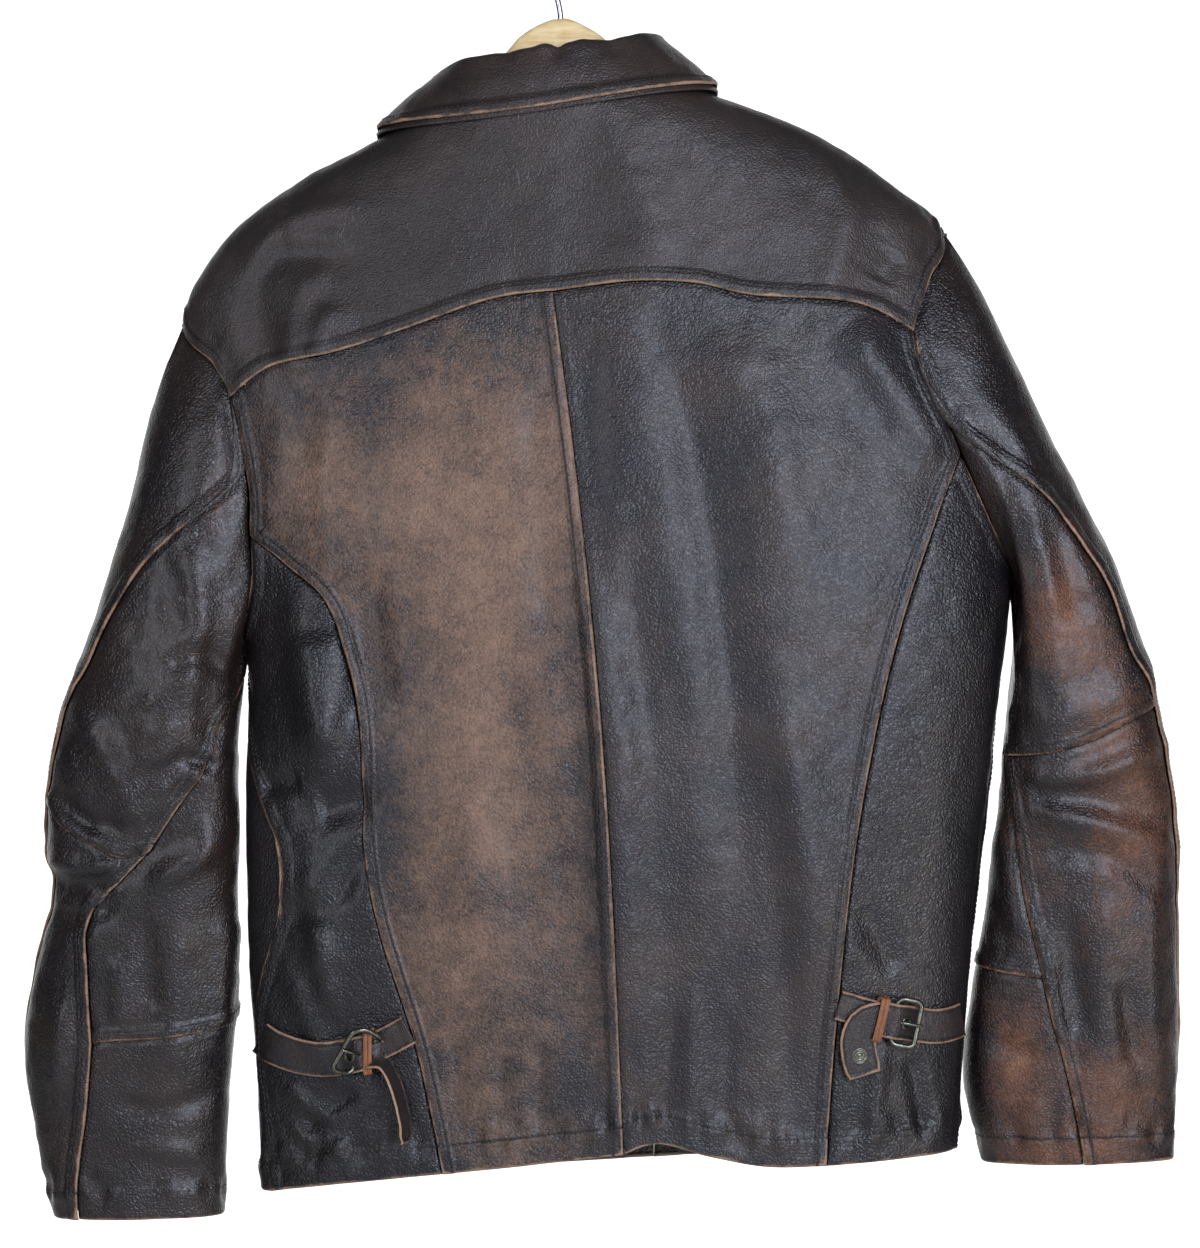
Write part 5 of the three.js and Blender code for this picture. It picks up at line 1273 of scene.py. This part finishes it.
# A shade painted over the base, from none where the field is low to the most where it is high.
def painted(tree, base, shade, field, low=0.0, high=1.0, most=1.0, curve="SMOOTHSTEP"):
    share = addNode(tree, "ShaderNodeMapRange", {"Value": field, "From Min": low, "From Max": high, "To Max": most},
                    interpolation_type=curve).outputs[0]
    return addNode(tree, "ShaderNodeMix", {0: share, 6: base, 7: colour(shade)}, data_type="RGBA").outputs[2]


def added(tree, total, *terms):  # the total and each field's distance from its middle, times its weight
    for field, middle, weight in terms:
        off = addNode(tree, "ShaderNodeMath", {0: field, 1: middle}, operation="SUBTRACT").outputs[0]
        off = addNode(tree, "ShaderNodeMath", {0: off, 1: weight}, operation="MULTIPLY").outputs[0]
        total = addNode(tree, "ShaderNodeMath", {0: total, 1: off}, operation="ADD").outputs[0]
    return total


# Waxed pull-up cowhide, drum dyed and rubbed with age: dark and satin where the finish is whole, matt and tan
# where it has worn through, with a pebbled grain and bare edges at its seams. A real grain is finer than a
# millimetre: it is drawn as coarse as it needs to show. Start is how far the wear lets the dark finish stand.
lookKeys = ("dark", "warm", "rubbed", "pale", "edge", "rough", "shine", "grain", "bump", "start")
leathers = {
    "back_leather": ("#1c1a1d", "#2f2623", "#6c5443", "#917462", "#8f735c", 0.38, 0.15, 1.45, 0.9, 0.24),
    "dark_leather": ("#0f0e11", "#191517", "#332823", "#533f32", "#8a6d57", 0.34, 0.17, 1.5, 1.0, 0.55),
    "yoke_leather": ("#282321", "#342b28", "#463932", "#5f4e43", "#94785f", 0.43, 0.07, 1.3, 0.7, 0.45),
    "sleeve_leather": ("#161112", "#251b18", "#5b3926", "#87603f", "#8d6e56", 0.32, 0.22, 1.45, 0.95, 0.48),
    "collar_leather": ("#282221", "#372d29", "#4e3f36", "#6d5646", "#9a7c63", 0.42, 0.07, 1.2, 0.7, 0.5),
    "strap_leather": ("#1f1a1a", "#2e2421", "#4a382e", "#6d523f", "#98785e", 0.38, 0.2, 1.0, 0.7, 0.5),
    "keeper_leather": ("#6b4027", "#8a5836", "#a56d45", "#bd8256", "#b98257", 0.5, 0.06, 1.2, 0.4, 0.3),
}
# size in millimetres, detail, roughness, distortion and stretch of each noise in the leather
leatherNoises = {"slow": (70, 6, 0.6, 0, 1), "patch": (16, 6, 0.65, 0, 1), "speck": (2.4, 4, 0.7, 0, 1),
                 "scratch": (2.2, 5, 0.7, 0, 0.16), "wrinkle": (6, 5, 0.62, 0.6, 1)}


def makeLeather(slot, look):
    material, tree, shader, place = newMaterial(slot.replace("_", " ") + ", rubbed cowhide")
    field = {}
    for key, (size, detail, rough, distortion, stretch) in leatherNoises.items():
        on = place
        if stretch != 1:
            on = addNode(tree, "ShaderNodeMapping", {"Scale": (1, 1, stretch), "Vector": place}).outputs[0]
        field[key] = addNode(tree, "ShaderNodeTexNoise", {
            "Vector": on, "Scale": patternScale(size), "Detail": detail, "Roughness": rough,
            "Distortion": distortion}).outputs["Fac"]
    cells = addNode(tree, "ShaderNodeTexVoronoi", {"Vector": place, "Scale": patternScale(look["grain"]),
                                                   "Randomness": 0.95}, feature="SMOOTH_F1").outputs["Distance"]
    for key in ("rub", "edge", "seamShade", "lining"):
        field[key] = addNode(tree, "ShaderNodeAttribute", attribute_name=key).outputs["Fac"]
    # listed wear, broken up by the slow, patchy and fine patterns
    worn = added(tree, field["rub"], (field["slow"], 0.5, 1.2), (field["patch"], 0.5, 1.0),
                 (field["speck"], 0.5, 1.1), (cells, 0.45, -0.5))
    edge = added(tree, field["edge"], (field["patch"], 0.5, 0.9), (field["speck"], 0.5, 0.6))
    base, start = colour(look["dark"]), look["start"]
    # the last coat is near-black painted shade in the seam grooves and along tucked edges
    for shade, source, low, high, most in (
            (look["warm"], field["slow"], 0.38, 0.66, 1), (look["rubbed"], worn, start - 0.1, start + 0.9, 1),
            (look["pale"], worn, start + 0.5, start + 1.5, 1), (look["pale"], field["scratch"], 0.58, 0.76, 0.14),
            (look["edge"], edge, 0.25, 0.95, 1), ("#0c0a0a", field["seamShade"], 0.1, 1.0, 0.85)):
        base = painted(tree, base, shade, source, low, high, most)
    base = painted(tree, base, "#2a2421", field["lining"], curve="LINEAR")
    tree.links.new(base, shader.inputs["Base Color"])
    wornHere, edgeHere = (
        addNode(tree, "ShaderNodeMapRange", {"Value": source, "From Min": low, "From Max": high},
                interpolation_type="SMOOTHSTEP").outputs[0]
        for source, low, high in ((worn, 0.2, 1.2), (edge, 0.3, 0.9)))
    rough = added(tree, look["rough"], (wornHere, 0, 0.14), (field["patch"], 0.5, 0.22), (edgeHere, 0, 0.18))
    tree.links.new(rough, shader.inputs["Roughness"])
    domes = added(tree, 1.0, (cells, 0, -1.0))
    pebble = addNode(tree, "ShaderNodeBump", {"Strength": look["bump"], "Distance": 0.0009, "Height": domes})
    crumple = addNode(tree, "ShaderNodeBump", {"Strength": 0.3, "Distance": 0.0012, "Height": field["wrinkle"],
                                               "Normal": pebble.outputs[0]})
    tree.links.new(crumple.outputs[0], shader.inputs["Normal"])
    shader.inputs["Coat Weight"].default_value = look["shine"]
    shader.inputs["Coat Roughness"].default_value = 0.3
    shader.inputs["Specular IOR Level"].default_value = 0.38
    return material


finishes = {slot: makeLeather(slot, dict(zip(lookKeys, look))) for slot, look in leathers.items()}
for piece, slot in leatherPieces:
    piece.data.materials.append(finishes[slot])


def makeThread():  # bonded polyester, dyed near black, a little satin
    material, tree, shader, place = newMaterial("dark polyester thread")
    twist = addNode(tree, "ShaderNodeTexNoise", {"Vector": place, "Scale": patternScale(0.8), "Detail": 2})
    tint = painted(tree, colour("#151211"), "#2e2621", twist.outputs["Fac"], curve="LINEAR")
    tree.links.new(tint, shader.inputs["Base Color"])
    shader.inputs["Roughness"].default_value = 0.55
    return material


seamThread.data.materials.append(makeThread())


def mottled(name, slotName, base, second, rough, metal, size):  # a finish of two tones in soft patches
    material, tree, shader, place = newMaterial(name)
    mottle = addNode(tree, "ShaderNodeTexNoise", {"Vector": place, "Scale": patternScale(size), "Detail": 5,
                                                  "Roughness": 0.65}).outputs["Fac"]
    tree.links.new(painted(tree, colour(base), second, mottle, 0.35, 0.65), shader.inputs["Base Color"])
    tree.links.new(added(tree, rough - 0.1, (mottle, 0, 0.2)), shader.inputs["Roughness"])
    shader.inputs["Metallic"].default_value = metal
    finishes[slotName] = material


mottled("aged nickel brass", "aged_metal", "#75766b", "#55554b", 0.34, 1.0, 2)
mottled("horn buttons, polished", "button_horn", "#2a1f19", "#4a382c", 0.35, 0.0, 5)
mottled("zinc plated wire", "hook_wire", "#b9bcbd", "#9ea1a2", 0.3, 1.0, 2)
for slot, pieces in (("aged_metal", metalPieces), ("hook_wire", [hookPiece]), ("button_horn", buttonPieces)):
    for piece in pieces:
        piece.data.materials.append(finishes[slot])


def makeMaple():  # straw-coloured maple, clear varnish, long fine grain along the bar
    material, tree, shader, place = newMaterial("varnished maple")
    drawn = addNode(tree, "ShaderNodeMapping", {"Scale": (0.12, 1, 1), "Vector": place}).outputs[0]
    grain = addNode(tree, "ShaderNodeTexNoise", {"Vector": drawn, "Scale": patternScale(3.5), "Detail": 6,
                                                 "Roughness": 0.6}).outputs["Fac"]
    tree.links.new(painted(tree, colour("#f4dca6"), "#dfb979", grain, 0.35, 0.68), shader.inputs["Base Color"])
    shader.inputs["Roughness"].default_value = 0.42
    shader.inputs["Coat Weight"].default_value = 0.3
    shader.inputs["Coat Roughness"].default_value = 0.25
    bump = addNode(tree, "ShaderNodeBump", {"Strength": 0.15, "Distance": 0.0002, "Height": grain})
    tree.links.new(bump.outputs[0], shader.inputs["Normal"])
    return material


hangerWood.data.materials.append(makeMaple())
print("stage: materials made")

# Stage, lights and camera, in metres. A light: name, place, target, width, height, watts, tint.
studio = {
    "centre": (-0.036, 0.0, -0.498), "distance": 3.0, "viewWidth": 0.8736, "world": ("#eef1f6", 0.1),
    "floor": -1.7, "wall": -5.0, "reach": 6.0, "wallTop": 3.4,
    "lights": [
        ("key", (-1.2, 2.65, 0.0), (-0.05, 0, -0.55), 1.1, 1.7, 84, "#e4ebff"),
        ("window", (1.5, 2.3, -0.1), (0.1, 0, -0.5), 0.6, 1.4, 24, "#f2f4ff"),
        ("lowSun", (-2.0, 1.9, -1.2), (-0.4, 0, -0.8), 0.3, 0.5, 9, "#fff0e0"),
    ],
}


def studioPlane(name, corners, shade):
    points = np.round(np.array(corners) / metres)
    piece = meshObject(name, points, [np.arange(4)[None]], smooth=False)
    material, tree, shader, place = newMaterial(name + " paint")
    grit = addNode(tree, "ShaderNodeTexNoise", {"Vector": place, "Scale": patternScale(400), "Detail": 3})
    tint = painted(tree, colour(shade), "#f6f5f2", grit.outputs["Fac"], curve="LINEAR")
    tree.links.new(tint, shader.inputs["Base Color"])
    shader.inputs["Roughness"].default_value = 0.9
    piece.data.materials.append(material)
    return shader


def aimAt(piece, place, target):
    piece.location = place
    piece.rotation_euler = (Vector(target) - piece.location).to_track_quat("-Z", "Y").to_euler()


low, wall, reach, top = (studio[key] for key in ("floor", "wall", "reach", "wallTop"))
studioPlane("floor", [[-reach, wall, low], [reach, wall, low], [reach, reach, low], [-reach, reach, low]], "#efeeea")
wallPaint = studioPlane("backdrop", [[-reach, wall, low], [-reach, wall, top], [reach, wall, top],
                                     [reach, wall, low]], "#f3f2ef")
wallPaint.inputs["Emission Color"].default_value = colour("#ffffff")
wallPaint.inputs["Emission Strength"].default_value = 1.0  # a lit backdrop

for name, place, target, width, height, power, tint in studio["lights"]:
    light = bpy.data.lights.new(name, "AREA")
    light.shape, light.size, light.size_y = "RECTANGLE", width, height
    light.energy, light.color = power, colour(tint)[:3]
    piece = bpy.data.objects.new(name, light)
    bpy.context.scene.collection.objects.link(piece)
    aimAt(piece, place, target)

world = bpy.data.worlds.new("studio")
world.use_nodes = True
sky = world.node_tree.nodes["Background"].inputs
sky[0].default_value, sky[1].default_value = colour(studio["world"][0]), studio["world"][1]
bpy.context.scene.world = world
bpy.context.scene.view_settings.view_transform = "Standard"

cameraData = bpy.data.cameras.new("camera")
camera = bpy.data.objects.new("camera", cameraData)
bpy.context.scene.collection.objects.link(camera)
x, y, z = studio["centre"]
aimAt(camera, (x, y + studio["distance"], z), studio["centre"])
cameraData.lens = cameraData.sensor_width * studio["distance"] / studio["viewWidth"]
bpy.context.scene.camera = camera
print("stage: camera and lights set")
